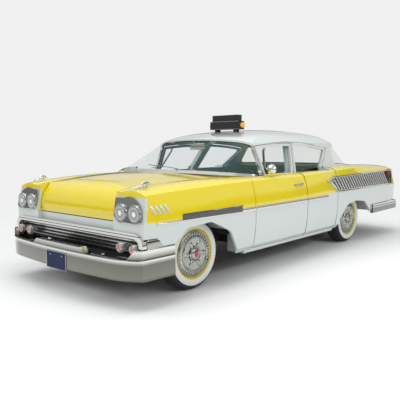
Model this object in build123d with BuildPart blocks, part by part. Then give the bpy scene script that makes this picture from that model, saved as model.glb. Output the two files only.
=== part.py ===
"""A full-size four-door sedan taxi of the late 1950s, built as its real pieces.

Millimetres. +X points forward, +Y to the left, +Z up. The origin is on the ground, in the
middle of the car's length and width. The left half is shaped first and mirrored to the right.
"""

import os
from collections import namedtuple
from math import cos, radians, sin, tan

from build123d import *

os.makedirs("parts", exist_ok=True)

# Main sizes of the car
WHEELBASE = 2984
FRONT_OVERHANG = 860
REAR_OVERHANG = 1467
HALF_WIDTH = 987
TRACK = 1494
ROOF_Z = 1458
BELT_Z = 955
CREASE_Z = 690
SILL_Z = 235

# Wheels
TYRE_RADIUS = 325
TYRE_WIDTH = 190
RIM_RADIUS = 208
RIM_WIDTH = 150
COVER_RADIUS = 206

# Sheet metal, glass and the gaps between what moves and what does not
SKIN = 25
ROOF_SKIN = 30
GLASS = 6
GAP = 8
UPRIGHT_GAP = 20
SEAT = 0.3

LENGTH = FRONT_OVERHANG + WHEELBASE + REAR_OVERHANG
FRONT_X = LENGTH / 2
REAR_X = -LENGTH / 2
FRONT_AXLE_X = FRONT_X - FRONT_OVERHANG
REAR_AXLE_X = REAR_X + REAR_OVERHANG
WHEEL_Y = TRACK / 2

# Lines across the body, as distances from the axles
FENDER_FACE_X = FRONT_AXLE_X + 685
HOOD_LIP_X = FRONT_AXLE_X + 642
HOOD_REAR_X = FRONT_AXLE_X - 150
COWL_X = FRONT_AXLE_X - 590
DOOR_FRONT_X = FRONT_AXLE_X - 712
PILLAR_A_X = FRONT_AXLE_X - 1090
DOOR_SPLIT_X = FRONT_AXLE_X - 1685
DOOR_REAR_X = REAR_AXLE_X + 585
LID_FRONT_X = REAR_AXLE_X - 440
TAIL_X = REAR_AXLE_X - 1291

# Body sections from the nose to the tail. The side columns say how far a point lies inside the
# half width, the height columns how far it lies above the belt line or the crease line, and
# the bow columns how far the curve between two points swells outwards.
Station = namedtuple(
    "Station",
    "x sill_in low_in crease_in crease_up shoulder_in shoulder_up valley_in valley_up middle_up"
    " low_bow side_bow shoulder_bow crown_bow",
)
STATIONS = [
    Station(FENDER_FACE_X, 150, 82, 42, 0, 72, -70, 340, -55, -50, 6, 4, 22, 6),
    Station(FRONT_AXLE_X + 430, 117, 50, 14, 0, 58, -52, 325, -20, 5, 8, 6, 26, 10),
    Station(FRONT_AXLE_X - 150, 105, 35, 2, -12, 50, -32, 280, 15, 62, 10, 9, 24, 14),
    Station(DOOR_FRONT_X, 100, 32, 0, -22, 52, -22, 190, 12, 60, 12, 12, 16, 14),
    Station(DOOR_SPLIT_X, 100, 32, 4, -10, 55, -18, 175, 18, 50, 12, 12, 14, 12),
    Station(DOOR_REAR_X, 102, 34, 6, 8, 45, 10, 190, 52, 62, 12, 5, 16, 10),
    Station(REAR_AXLE_X, 108, 40, 8, 14, 42, 25, 245, 55, 58, 12, -9, 20, 8),
    Station(REAR_AXLE_X - 700, 122, 52, 20, 14, 58, 12, 300, 28, 40, 10, -16, 22, 8),
    Station(TAIL_X, 150, 90, 52, 14, 88, -42, 360, -40, -20, 8, -14, 20, 8),
]
LOW_Z = SILL_Z + 75


def section_plane(x):
    """Plane across the car: its own x runs to the left and its own y runs up."""
    return Plane(origin=(x, 0, 0), x_dir=(0, 1, 0), z_dir=(1, 0, 0))


def side_plane(y):
    """Plane along the car at y: its own x runs forward and its own y runs up."""
    return Plane(origin=(0, y, 0), x_dir=(1, 0, 0), z_dir=(0, -1, 0))


def half_section(station, x, skin, bottom_z):
    """Left half of one body section, drawn skin millimetres inside the outer surface."""
    y_sill = HALF_WIDTH - station.sill_in - skin
    low = (HALF_WIDTH - station.low_in - skin, LOW_Z)
    crease = (HALF_WIDTH - station.crease_in - skin, CREASE_Z + station.crease_up)
    shoulder = (HALF_WIDTH - station.shoulder_in - skin, BELT_Z + station.shoulder_up - skin)
    valley = (HALF_WIDTH - station.valley_in - skin, BELT_Z + station.valley_up - skin)
    middle = (0, BELT_Z + station.middle_up - skin)
    with BuildSketch(section_plane(x)) as section:
        with BuildLine():
            Polyline((0, bottom_z), (y_sill, bottom_z), low)
            SagittaArc(low, crease, -station.low_bow)
            SagittaArc(crease, shoulder, -station.side_bow)
            SagittaArc(shoulder, valley, -station.shoulder_bow)
            SagittaArc(valley, middle, -station.crown_bow)
            Line(middle, (0, bottom_z))
        make_face()
    return section.sketch


def body_form(skin, bottom_z, front_cut, rear_cut):
    """The closed body below the glass, left half, with its ends drawn in by the cuts."""
    with BuildPart() as form:
        for station in STATIONS:
            x = station.x
            if station is STATIONS[0]:
                x -= front_cut
            if station is STATIONS[-1]:
                x += rear_cut
            add(half_section(station, x, skin, bottom_z))
        loft()
    return form.part


# Left half of the body below the glass
FAR_Y = 1200
HIGH_Z = 1700
NOSE_HALF_WIDTH = 575
HOOD_LIP_Z = 666
NOSE_BOTTOM_Z = 556
NOSE_ROLL_X = FRONT_AXLE_X + 395
FRONT_LOW_X = FRONT_AXLE_X + 360
FRONT_LOW_Z = 488
REAR_LOW_X = REAR_AXLE_X - 400
REAR_LOW_Z = 470
BROW_LOW_Z = 674
BROW_RISE = 300
BROW_LEAN = 10.5


def side_block(points, y_from=0, y_to=FAR_Y, rounding=0):
    """A block with the outline given in the side view, between two distances to the left."""
    with BuildPart() as block:
        with BuildSketch(side_plane(y_to)) as outline:
            with BuildLine():
                Polyline(*points, close=True)
            make_face()
            if rounding:
                fillet(outline.vertices(), rounding)
        extrude(amount=y_to - y_from)
    return block.part


def plan_block(points, z_from, z_to):
    """A block with the outline given from above, between two heights."""
    with BuildPart() as block:
        with BuildSketch(Plane.XY.offset(z_from)):
            with BuildLine():
                Polyline(*points, close=True)
            make_face()
        extrude(amount=z_to - z_from)
    return block.part


def box_block(x_from, x_to, y_from, y_to, z_from, z_to):
    """A plain block between six planes."""
    with BuildPart() as block:
        with Locations(((x_from + x_to) / 2, (y_from + y_to) / 2, (z_from + z_to) / 2)):
            Box(x_to - x_from, y_to - y_from, z_to - z_from)
    return block.part


def ahead_of_nose(skin):
    """What is cut away ahead of the rolled nose between the headlamps."""
    roll_start = (NOSE_ROLL_X - skin, HIGH_Z)
    roll_top = (NOSE_ROLL_X - skin, BELT_Z + 6 - skin)
    roll_middle = (HOOD_LIP_X - 62 - 0.7 * skin, BELT_Z - 72 - 0.7 * skin)
    lip = (HOOD_LIP_X + 2 - skin, HOOD_LIP_Z + 24)
    chin = (HOOD_LIP_X - 8 - skin, NOSE_BOTTOM_Z - 60)
    far_x = FRONT_X + 100
    with BuildPart() as block:
        with BuildSketch(side_plane(NOSE_HALF_WIDTH + skin)):
            with BuildLine():
                Line(roll_start, roll_top)
                ThreePointArc(roll_top, roll_middle, lip)
                Polyline(lip, chin, (far_x, chin[1]), (far_x, HIGH_Z), roll_start)
            make_face()
        extrude(amount=NOSE_HALF_WIDTH + skin)
    return block.part


def ahead_of_brow(skin):
    """What is cut away ahead of the leaning faces that carry the headlamps."""
    low_x = FENDER_FACE_X - skin
    high_x = low_x - BROW_RISE * tan(radians(BROW_LEAN))
    return side_block(
        [
            (low_x, BROW_LOW_Z),
            (high_x, BROW_LOW_Z + BROW_RISE),
            (FRONT_X, BROW_LOW_Z + BROW_RISE),
            (FRONT_X, BROW_LOW_Z),
        ]
    )


def wheel_arch(points):
    """The wheel opening in a side panel."""
    return side_block(points, HALF_WIDTH - 300, FAR_Y, rounding=95)


with BuildPart() as outer:
    add(body_form(0, SILL_Z, 0, 0))
    add(ahead_of_nose(0), mode=Mode.SUBTRACT)
    add(ahead_of_brow(0), mode=Mode.SUBTRACT)

with BuildPart() as inner:
    add(body_form(SKIN, SILL_Z - 100, SKIN, SKIN))
    add(ahead_of_nose(SKIN), mode=Mode.SUBTRACT)
    add(ahead_of_brow(SKIN), mode=Mode.SUBTRACT)

with BuildPart() as skin:
    add(outer.part)
    add(inner.part, mode=Mode.SUBTRACT)
    add(box_block(FRONT_LOW_X, FRONT_X + 50, -50, FAR_Y, 0, FRONT_LOW_Z), mode=Mode.SUBTRACT)
    add(box_block(HOOD_LIP_X - 90, FRONT_X + 50, -50, FAR_Y, 0, NOSE_BOTTOM_Z), mode=Mode.SUBTRACT)
    add(box_block(REAR_X - 50, REAR_LOW_X, -50, FAR_Y, 0, REAR_LOW_Z), mode=Mode.SUBTRACT)

# The glasshouse and roof, as level outlines of the whole width

RAIL_LEVEL_Z = 1300
Outline = namedtuple("Outline", "z front corner_x corner_y rear_x rear_y rear front_r rear_r")
GLASS_LINES = [
    Outline(930, 1770, 1380, 838, -1380, 795, -1690, 330, 290),
    Outline(RAIL_LEVEL_Z, 936, 800, 668, -1060, 652, -1290, 170, 200),
]
ROOF_LINES = [
    GLASS_LINES[1],
    Outline(1360, 800, 670, 600, -940, 588, -1150, 180, 190),
    Outline(1410, 570, 440, 500, -750, 490, -940, 180, 190),
    Outline(1440, 310, 190, 370, -510, 362, -680, 160, 160),
    Outline(ROOF_Z, 40, -30, 200, -250, 195, -340, 90, 90),
]


def level_outline(line, z, inset):
    """One level outline of the glasshouse, drawn inset millimetres inside the outer surface."""
    with BuildSketch(Plane.XY.offset(z)) as outline:
        with BuildLine():
            ThreePointArc((line.corner_x, line.corner_y), (line.front, 0), (line.corner_x, -line.corner_y))
            Line((line.corner_x, -line.corner_y), (line.rear_x, -line.rear_y))
            ThreePointArc((line.rear_x, -line.rear_y), (line.rear, 0), (line.rear_x, line.rear_y))
            Line((line.rear_x, line.rear_y), (line.corner_x, line.corner_y))
        make_face()
        fillet(outline.vertices().group_by(Axis.X)[-1], line.front_r)
        fillet(outline.vertices().group_by(Axis.X)[0], line.rear_r)
        if inset:
            offset(amount=-inset, kind=Kind.INTERSECTION)
    return outline.sketch


def glass_form(inset):
    """The glasshouse and the roof as one solid, inset millimetres inside the outer surface."""
    with BuildPart() as sides:
        for line in GLASS_LINES:
            add(level_outline(line, line.z, inset))
        loft(ruled=True)
    with BuildPart() as crown:
        for line in ROOF_LINES:
            rise = (line.z - RAIL_LEVEL_Z) * (ROOF_Z - inset - RAIL_LEVEL_Z) / (ROOF_Z - RAIL_LEVEL_Z)
            add(level_outline(line, RAIL_LEVEL_Z + rise, inset))
        loft()
    with BuildPart() as form:
        add(sides.part)
        add(crown.part)
        add(LEFT_SIDE, mode=Mode.INTERSECT)
    return form.part


LEFT_SIDE = box_block(REAR_X - 50, FRONT_X + 50, 0, FAR_Y, 0, HIGH_Z)
glass_outer = glass_form(0)
glass_inner = glass_form(ROOF_SKIN)

with BuildPart() as upper:
    add(glass_outer)
    add(glass_inner, mode=Mode.SUBTRACT)
    add(outer.part, mode=Mode.SUBTRACT)

# Lines in the side view that part the glass, the doors and the roof
RAIL_FRONT_Z = 1266
RAIL_TOP_Z = 1300
RAIL_REAR_Z = 1235
RAIL_REAR_X = DOOR_REAR_X - 245
SPLIT_LEAN = 150
REAR_LEAN = 285
FRAME = 30
FOOT_Z = 915
FOOT_Y = 838


def rail_block(shift, z_edge):
    """All that lies between the roof rail, moved up by shift, and the height z_edge."""
    front = (PILLAR_A_X, RAIL_FRONT_Z + shift)
    middle = (DOOR_SPLIT_X - SPLIT_LEAN, RAIL_TOP_Z + shift)
    rear = (RAIL_REAR_X, RAIL_REAR_Z + shift)
    far_front = (FRONT_X, RAIL_FRONT_Z + shift)
    far_rear = (REAR_X, RAIL_REAR_Z + shift)
    with BuildPart() as block:
        with BuildSketch(side_plane(FAR_Y)):
            with BuildLine():
                Line(far_front, front)
                ThreePointArc(front, middle, rear)
                Polyline(rear, far_rear, (REAR_X, z_edge), (FRONT_X, z_edge), far_front)
            make_face()
        extrude(amount=FAR_Y, dir=(0, -1, 0))
    return block.part


def frame_block(points, inset=0):
    """The outline of a door above the belt, cut off by the roof rail, as a block."""
    with BuildPart() as block:
        with BuildSketch(side_plane(FAR_Y)) as outline:
            with BuildLine():
                Polyline(*points, close=True)
            make_face()
            if inset:
                offset(amount=-inset, kind=Kind.INTERSECTION)
        extrude(amount=FAR_Y, dir=(0, -1, 0))
        add(rail_block(-GAP / 2 - inset, 0), mode=Mode.INTERSECT)
    return block.part


def lean_x(x, lean, low_z, rise, z):
    """Place along the car of a leaning edge at height z."""
    return x - lean * (z - low_z) / rise


FRONT_FRAME_LOW = BELT_Z - 25
FRAME_TOP = RAIL_TOP_Z + 50
SPLIT_LOW_Z = BELT_Z + 10
SPLIT_RISE = RAIL_TOP_Z - SPLIT_LOW_Z
REAR_FRAME_X = DOOR_REAR_X + 55
REAR_LOW_FRAME_Z = BELT_Z + 45
REAR_RISE = RAIL_REAR_Z - REAR_LOW_FRAME_Z


def split_edge(shift):
    """The leaning edge between the two doors, moved forward by shift, from bottom to top."""
    x = DOOR_SPLIT_X + shift
    top = lean_x(x, SPLIT_LEAN, SPLIT_LOW_Z, SPLIT_RISE, FRAME_TOP)
    return [(x, FRONT_FRAME_LOW), (x, SPLIT_LOW_Z), (top, FRAME_TOP)]


def rear_edge(shift):
    """The leaning rear edge of the rear window frame, moved forward by shift."""
    x = REAR_FRAME_X + shift
    top = lean_x(x, REAR_LEAN, REAR_LOW_FRAME_Z, REAR_RISE, FRAME_TOP)
    return [(x, FRONT_FRAME_LOW), (x, REAR_LOW_FRAME_Z), (top, FRAME_TOP)]


# The foot of the front door's rear upright steps forward, to swing past the rear door's shoulder
FOOT_STEP = 13
FOOT_STEP_Z = SPLIT_LOW_Z + 20
upright_x = DOOR_SPLIT_X + UPRIGHT_GAP / 2
front_frame_points = [
    (PILLAR_A_X - GAP / 2, FRAME_TOP),
    (PILLAR_A_X - GAP / 2, FRONT_FRAME_LOW),
    (upright_x + FOOT_STEP, FRONT_FRAME_LOW),
    (upright_x + FOOT_STEP, FOOT_STEP_Z),
    (lean_x(upright_x, SPLIT_LEAN, SPLIT_LOW_Z, SPLIT_RISE, FOOT_STEP_Z), FOOT_STEP_Z),
    split_edge(UPRIGHT_GAP / 2)[-1],
]
rear_frame_points = [
    *split_edge(-UPRIGHT_GAP / 2)[::-1],
    *rear_edge(0),
]

# Windscreen and rear window outlines
SCREEN_X = PILLAR_A_X + GAP / 2 + FRAME
HEADER_SLOPE = 0.5
SCREEN_BASE_Z = BELT_Z + 17
SCREEN_BASE_RISE = 0.09
SCREEN_FAR_X = SCREEN_X + 1150
screen_points = [
    (SCREEN_X, SCREEN_BASE_Z),
    (SCREEN_X, RAIL_FRONT_Z - 4),
    (SCREEN_X + 300, RAIL_FRONT_Z - 4 + 300 * HEADER_SLOPE),
    (SCREEN_FAR_X, RAIL_FRONT_Z - 4 + 300 * HEADER_SLOPE),
    (SCREEN_FAR_X, SCREEN_BASE_Z + SCREEN_BASE_RISE * (SCREEN_FAR_X - SCREEN_X)),
]
BACKLIGHT_X = DOOR_REAR_X - 301
BACKLIGHT_BASE_Z = BELT_Z + 82
BACKLIGHT_FAR_X = BACKLIGHT_X - 1000
backlight_points = [
    (BACKLIGHT_X, BACKLIGHT_BASE_Z),
    (BACKLIGHT_X - 60, RAIL_REAR_Z + 5),
    (BACKLIGHT_FAR_X, RAIL_REAR_Z + 5 + 0.245 * 940),
    (BACKLIGHT_FAR_X, BACKLIGHT_BASE_Z - 20),
]


def outline_block(points, rounding, grow):
    """A block with a rounded outline in the side view, grown outwards by grow."""
    with BuildPart() as block:
        with BuildSketch(side_plane(FAR_Y)) as outline:
            with BuildLine():
                Polyline(*points, close=True)
            make_face()
            fillet(outline.vertices(), rounding)
            if grow:
                offset(amount=grow, kind=Kind.INTERSECTION)
        extrude(amount=FAR_Y)
    return block.part


screen_block = outline_block(screen_points, 60, 0)
screen_ring_block = outline_block(screen_points, 60, FRAME)
backlight_block = outline_block(backlight_points, 40, 0)

above_rail = rail_block(GAP / 2, HIGH_Z)
below_rail = rail_block(GAP / 2, 0)


def both_sides(part):
    """A piece and its mirror image, joined where they meet in the middle."""
    with BuildPart() as pair:
        add(part)
        mirror(about=Plane.XZ)
    return pair.part


nodes = {}

with BuildPart() as screen_frame:
    add(upper.part)
    add(screen_ring_block, mode=Mode.INTERSECT)
    add(screen_block, mode=Mode.SUBTRACT)
nodes["windshield_frame"] = both_sides(screen_frame.part)

with BuildPart() as roof:
    add(upper.part)
    add(above_rail, mode=Mode.INTERSECT)
    add(screen_ring_block, mode=Mode.SUBTRACT)
    add(backlight_block, mode=Mode.SUBTRACT)

rear_pillar_points = [
    (REAR_X, 0),
    (DOOR_REAR_X - GAP / 2, 0),
    (DOOR_REAR_X - GAP / 2, REAR_LOW_FRAME_Z + GAP + 6),
    (lean_x(REAR_FRAME_X - UPRIGHT_GAP, REAR_LEAN, 0, REAR_RISE, GAP + 6), REAR_LOW_FRAME_Z + GAP + 6),
    (lean_x(REAR_FRAME_X - UPRIGHT_GAP, REAR_LEAN, REAR_LOW_FRAME_Z, REAR_RISE, FRAME_TOP), FRAME_TOP),
    (REAR_X, FRAME_TOP),
]
with BuildPart() as rear_pillar:
    add(upper.part)
    add(below_rail, mode=Mode.INTERSECT)
    add(side_block(rear_pillar_points), mode=Mode.INTERSECT)
    add(backlight_block, mode=Mode.SUBTRACT)
with BuildPart() as roof_whole:
    add(roof.part)
    add(rear_pillar.part)
nodes["roof"] = both_sides(roof_whole.part)

GLASS_INSET = 12
with BuildPart() as glass_layer:
    add(glass_form(GLASS_INSET))
    add(glass_form(GLASS_INSET + GLASS), mode=Mode.SUBTRACT)
    add(outer.part, mode=Mode.SUBTRACT)

with BuildPart() as screen_glass:
    add(glass_layer.part)
    add(outline_block(screen_points, 60, -SEAT), mode=Mode.INTERSECT)
nodes["windshield"] = both_sides(screen_glass.part)

with BuildPart() as back_glass:
    add(glass_layer.part)
    add(outline_block(backlight_points, 40, -SEAT), mode=Mode.INTERSECT)
nodes["rear_window"] = both_sides(back_glass.part)

# Doors
DOOR_BOTTOM_Z = SILL_Z + 45
DOOR_INNER_LOW_Y = 800
DOOR_INNER_BELT_Y = 765
DOOR_TAPER = 0.32
WINDOW_SILL_Z = BELT_Z + 20


def door_lower(x_front, x_rear):
    """The hollow-looking lower door: outer skin, inner trim face and a tapered rear edge."""
    inner_side = [
        (DOOR_INNER_LOW_Y, DOOR_BOTTOM_Z),
        (FAR_Y, DOOR_BOTTOM_Z),
        (FAR_Y, HIGH_Z),
        (DOOR_INNER_BELT_Y, HIGH_Z),
        (DOOR_INNER_BELT_Y, BELT_Z),
    ]
    wedge = [(x_rear, HALF_WIDTH), (x_rear, 600), (x_rear + DOOR_TAPER * (HALF_WIDTH - 600), 600)]
    with BuildPart() as lower:
        with BuildSketch(section_plane(x_rear)):
            with BuildLine():
                Polyline(*inner_side, close=True)
            make_face()
        extrude(amount=x_front - x_rear)
        add(outer.part, mode=Mode.INTERSECT)
        add(plan_block(wedge, 0, HIGH_Z), mode=Mode.SUBTRACT)
    return lower.part


def window_block(points, inset):
    """The window opening inside a door frame, with its sill at the belt."""
    with BuildPart() as block:
        add(frame_block(points, inset))
        add(box_block(REAR_X, FRONT_X, 0, FAR_Y, WINDOW_SILL_Z, HIGH_Z), mode=Mode.INTERSECT)
    return block.part


def door(points, x_front, x_rear, foot):
    """One left door: lower part, window frame and window opening."""
    with BuildPart() as leaf:
        add(glass_outer)
        add(glass_inner, mode=Mode.SUBTRACT)
        add(frame_block(points), mode=Mode.INTERSECT)
        add(door_lower(x_front, x_rear))
        add(window_block(points, FRAME), mode=Mode.SUBTRACT)
        if foot:
            foot_space = box_block(PILLAR_A_X - GAP / 2, x_front + 50, 0, FOOT_Y + GAP, FOOT_Z - GAP, HIGH_Z)
            add(foot_space, mode=Mode.SUBTRACT)
    return leaf.part


def door_glass(points):
    """The glass of one left door, seated in its frame."""
    with BuildPart() as pane:
        add(glass_layer.part)
        add(window_block(points, FRAME + SEAT), mode=Mode.INTERSECT)
    return pane.part


nodes["door_front_left"] = door(front_frame_points, DOOR_FRONT_X, DOOR_SPLIT_X + GAP / 2, True)
nodes["door_rear_left"] = door(rear_frame_points, DOOR_SPLIT_X - GAP / 2, DOOR_REAR_X + GAP / 2, False)
nodes["door_glass_front_left"] = door_glass(front_frame_points)
nodes["door_glass_rear_left"] = door_glass(rear_frame_points)
for name in ("door_front", "door_rear", "door_glass_front", "door_glass_rear"):
    nodes[name + "_right"] = nodes[name + "_left"].mirror(Plane.XZ)

# Hood, cowl, fenders and nose
HOOD_FRONT_Y = NOSE_HALF_WIDTH - GAP
HOOD_REAR_Y = 715
COWL_FRONT_X = HOOD_REAR_X - GAP
COWL_REAR_X = COWL_X - 260
HOOD_BEND_X = HOOD_LIP_X - 60
HOOD_STRAIGHT = 140


def hood_outline(x_rear, margin):
    """The hood from above, with its sides moved outwards by the margin."""
    return [
        (FRONT_X, 0),
        (FRONT_X, HOOD_FRONT_Y + margin),
        (HOOD_BEND_X, HOOD_FRONT_Y + margin),
        (HOOD_REAR_X + HOOD_STRAIGHT, HOOD_REAR_Y + margin),
        (x_rear, HOOD_REAR_Y + margin),
        (x_rear, 0),
    ]


with BuildPart() as hood:
    add(skin.part)
    add(plan_block(hood_outline(HOOD_REAR_X, 0), HOOD_LIP_Z, HIGH_Z), mode=Mode.INTERSECT)
nodes["hood"] = both_sides(hood.part)

with BuildPart() as nose:
    add(skin.part)
    add(box_block(NOSE_ROLL_X, FRONT_X, 0, NOSE_HALF_WIDTH, 0, HOOD_LIP_Z - GAP), mode=Mode.INTERSECT)
nodes["nose_panel"] = both_sides(nose.part)

with BuildPart() as cowl:
    add(skin.part)
    add(box_block(COWL_REAR_X, COWL_FRONT_X, 0, FOOT_Y, BELT_Z - 60, HIGH_Z), mode=Mode.INTERSECT)
with BuildPart() as cowl_arm:
    add(outer.part)
    arm_y = DOOR_INNER_BELT_Y - 25
    add(box_block(PILLAR_A_X + GAP / 2, COWL_REAR_X, arm_y, FOOT_Y, FOOT_Z, HIGH_Z), mode=Mode.INTERSECT)
with BuildPart() as cowl_left:
    add(cowl.part)
    add(cowl_arm.part)
nodes["cowl"] = both_sides(cowl_left.part)

front_arch_points = [
    (FRONT_AXLE_X + 405, 150),
    (FRONT_AXLE_X + 395, 470),
    (FRONT_AXLE_X + 240, 600),
    (FRONT_AXLE_X - 60, 618),
    (FRONT_AXLE_X - 330, 500),
    (FRONT_AXLE_X - 560, 150),
]
rear_arch_points = [
    (REAR_AXLE_X + 530, 150),
    (REAR_AXLE_X + 480, 380),
    (REAR_AXLE_X + 300, 540),
    (REAR_AXLE_X + 60, 566),
    (REAR_AXLE_X - 200, 535),
    (REAR_AXLE_X - 400, 400),
    (REAR_AXLE_X - 440, 150),
]



def wheelhouse(x, radius, y_in, low_z):
    """The round inner housing over one wheel, open below and outwards."""
    with BuildPart() as housing:
        for r, wall in ((radius, 0), (radius - WHEELHOUSE_T, WHEELHOUSE_T)):
            with BuildSketch(side_plane(HALF_WIDTH)):
                with Locations((x, TYRE_RADIUS)):
                    Circle(r)
            extrude(amount=HALF_WIDTH - y_in - wall, mode=Mode.SUBTRACT if wall else Mode.ADD)
        add(box_block(x - radius - 10, x + radius + 10, 0, FAR_Y, -500, low_z), mode=Mode.SUBTRACT)
        add(outer.part, mode=Mode.INTERSECT)
    return housing.part


WHEELHOUSE_T = 10
FRONT_HOUSE_R = 440
FRONT_HOUSE_IN_Y = 455
FRONT_HOUSE_LOW_Z = 500
with BuildPart() as fender:
    add(skin.part)
    add(box_block(DOOR_FRONT_X + GAP, FRONT_X, 0, FAR_Y, 0, HIGH_Z), mode=Mode.INTERSECT)
    add(plan_block(hood_outline(COWL_FRONT_X, GAP), HOOD_LIP_Z - GAP, HIGH_Z), mode=Mode.SUBTRACT)
    add(box_block(NOSE_ROLL_X, FRONT_X, 0, NOSE_HALF_WIDTH, 0, HIGH_Z), mode=Mode.SUBTRACT)
    add(box_block(DOOR_FRONT_X - 50, COWL_FRONT_X, 0, FOOT_Y, 0, HIGH_Z), mode=Mode.SUBTRACT)
    add(wheel_arch(front_arch_points), mode=Mode.SUBTRACT)
    add(wheelhouse(FRONT_AXLE_X, FRONT_HOUSE_R, FRONT_HOUSE_IN_Y, FRONT_HOUSE_LOW_Z))
nodes["front_fenders"] = both_sides(fender.part)

# Rear quarters, deck, trunk lid and tail
LID_Y = 600
LID_LOW_Z = 660
SHELF_FRONT_X = DOOR_REAR_X - 190
SHELF_Y = 700

with BuildPart() as lid:
    add(skin.part)
    add(box_block(REAR_X, LID_FRONT_X, 0, LID_Y, LID_LOW_Z, HIGH_Z), mode=Mode.INTERSECT)
nodes["trunk_lid"] = both_sides(lid.part)

with BuildPart() as shelf:
    add(skin.part)
    add(box_block(LID_FRONT_X + GAP, SHELF_FRONT_X, 0, SHELF_Y, BELT_Z - 60, HIGH_Z), mode=Mode.INTERSECT)
nodes["rear_shelf"] = both_sides(shelf.part)

with BuildPart() as tail:
    add(skin.part)
    add(box_block(REAR_X, TAIL_X + SKIN, 0, LID_Y + GAP, REAR_LOW_Z, LID_LOW_Z - GAP), mode=Mode.INTERSECT)
nodes["tail_panel"] = both_sides(tail.part)

WHEELHOUSE_R = 470
WHEELHOUSE_IN_Y = WHEEL_Y - TYRE_WIDTH / 2 - 55
WHEELHOUSE_LOW_Z = TYRE_RADIUS + 60
with BuildPart() as quarter:
    add(skin.part)
    add(box_block(REAR_X, DOOR_REAR_X - GAP / 2, 0, FAR_Y, 0, HIGH_Z), mode=Mode.INTERSECT)
    add(box_block(LID_FRONT_X + GAP, 0, 0, SHELF_Y, 0, HIGH_Z), mode=Mode.SUBTRACT)
    add(box_block(REAR_X, LID_FRONT_X + GAP, 0, LID_Y + GAP, 0, HIGH_Z), mode=Mode.SUBTRACT)
    add(wheel_arch(rear_arch_points), mode=Mode.SUBTRACT)
    add(wheelhouse(REAR_AXLE_X, WHEELHOUSE_R, WHEELHOUSE_IN_Y, WHEELHOUSE_LOW_Z))
nodes["quarter_panels"] = both_sides(quarter.part)

# Sills and pillars
ROCKER_TOP_Z = DOOR_BOTTOM_Z - GAP
ROCKER_IN_Y = 700
ROCKER_WEB_Y = 785
FLOOR_Z = 405
FLOOR_T = 20
ROCKER_OUT_Y = 930
rocker_section = [
    (ROCKER_IN_Y, SILL_Z),
    (ROCKER_OUT_Y, SILL_Z),
    (ROCKER_OUT_Y, ROCKER_TOP_Z),
    (ROCKER_WEB_Y, ROCKER_TOP_Z),
    (ROCKER_WEB_Y, FLOOR_Z),
    (ROCKER_IN_Y, FLOOR_Z),
]
with BuildPart() as rocker:
    with BuildSketch(section_plane(DOOR_REAR_X - GAP)):
        with BuildLine():
            Polyline(*rocker_section, close=True)
        make_face()
    extrude(amount=DOOR_FRONT_X + 96 - DOOR_REAR_X)
    add(inner.part, mode=Mode.INTERSECT)
    add(box_block(DOOR_FRONT_X + GAP, DOOR_FRONT_X + 88, 800, 905, ROCKER_TOP_Z - 20, FOOT_Z - 40))

PILLAR_B_DEPTH = 45
PILLAR_B_WIDTH = 110
PILLAR_B_Y = DOOR_INNER_BELT_Y - GAP
PILLAR_STEP_Z = BELT_Z + 32


def pillar_outline(half_width):
    """The centre pillar in the side view, leaning with the edge between the doors."""
    x_top = lean_x(DOOR_SPLIT_X, SPLIT_LEAN, SPLIT_LOW_Z, SPLIT_RISE, FRAME_TOP)
    return [
        (DOOR_SPLIT_X - half_width, FLOOR_Z),
        (DOOR_SPLIT_X + half_width, FLOOR_Z),
        (DOOR_SPLIT_X + half_width, SPLIT_LOW_Z),
        (x_top + half_width, FRAME_TOP),
        (x_top - half_width, FRAME_TOP),
        (DOOR_SPLIT_X - half_width, SPLIT_LOW_Z),
    ]


with BuildPart() as pillar:
    add(glass_form(ROOF_SKIN + GAP))
    add(glass_form(ROOF_SKIN + GAP + PILLAR_B_DEPTH), mode=Mode.SUBTRACT)
    add(box_block(REAR_X, FRONT_X, 0, FAR_Y, 0, RAIL_TOP_Z + 40), mode=Mode.INTERSECT)
    add(box_block(REAR_X, FRONT_X, PILLAR_B_Y, FAR_Y, 0, PILLAR_STEP_Z), mode=Mode.SUBTRACT)
    add(box_block(DOOR_SPLIT_X - 300, DOOR_SPLIT_X + 300, PILLAR_B_Y - 52, PILLAR_B_Y, 0, PILLAR_STEP_Z + 3))
    add(side_block(pillar_outline(PILLAR_B_WIDTH / 2)), mode=Mode.INTERSECT)
with BuildPart() as pillar_head:
    add(glass_inner)
    add(glass_form(ROOF_SKIN + GAP + PILLAR_B_DEPTH), mode=Mode.SUBTRACT)
    add(above_rail, mode=Mode.INTERSECT)
    add(box_block(REAR_X, FRONT_X, 0, FAR_Y, 0, RAIL_TOP_Z + 40), mode=Mode.INTERSECT)
    add(side_block(pillar_outline(PILLAR_B_WIDTH / 2)), mode=Mode.INTERSECT)
with BuildPart() as pillar_whole:
    add(pillar.part)
    add(pillar_head.part)
with BuildPart() as side_frame:
    add(rocker.part)
    add(pillar_whole.part)
nodes["side_frames"] = both_sides(side_frame.part)

# Floor, chassis and engine
FLOOR_EDGE_Y = ROCKER_IN_Y
FIREWALL_X = COWL_X + 140
TOE_X = COWL_X - 75
HEEL_X = DOOR_SPLIT_X - 440
KICK_Z = 600
BOOT_Z = 480
TRUNK_DROP_X = REAR_AXLE_X - 560
FLOOR_END_X = TAIL_X + SKIN + 60
RAIL_TOP = FLOOR_Z - FLOOR_T
RAIL_H = 110
RAIL_W = 90
PAD_HALF = 100
PAD_T = 8


def sheet_block(path, thickness, y_from, y_to):
    """A bent sheet whose top follows the path in the side view."""
    with BuildPart() as sheet:
        with BuildSketch(side_plane(y_to)):
            with BuildLine():
                Polyline(*path)
                offset(amount=thickness, side=Side.RIGHT, kind=Kind.INTERSECTION)
            make_face()
        extrude(amount=y_to - y_from, dir=(0, -1, 0))
    return sheet.part


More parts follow.
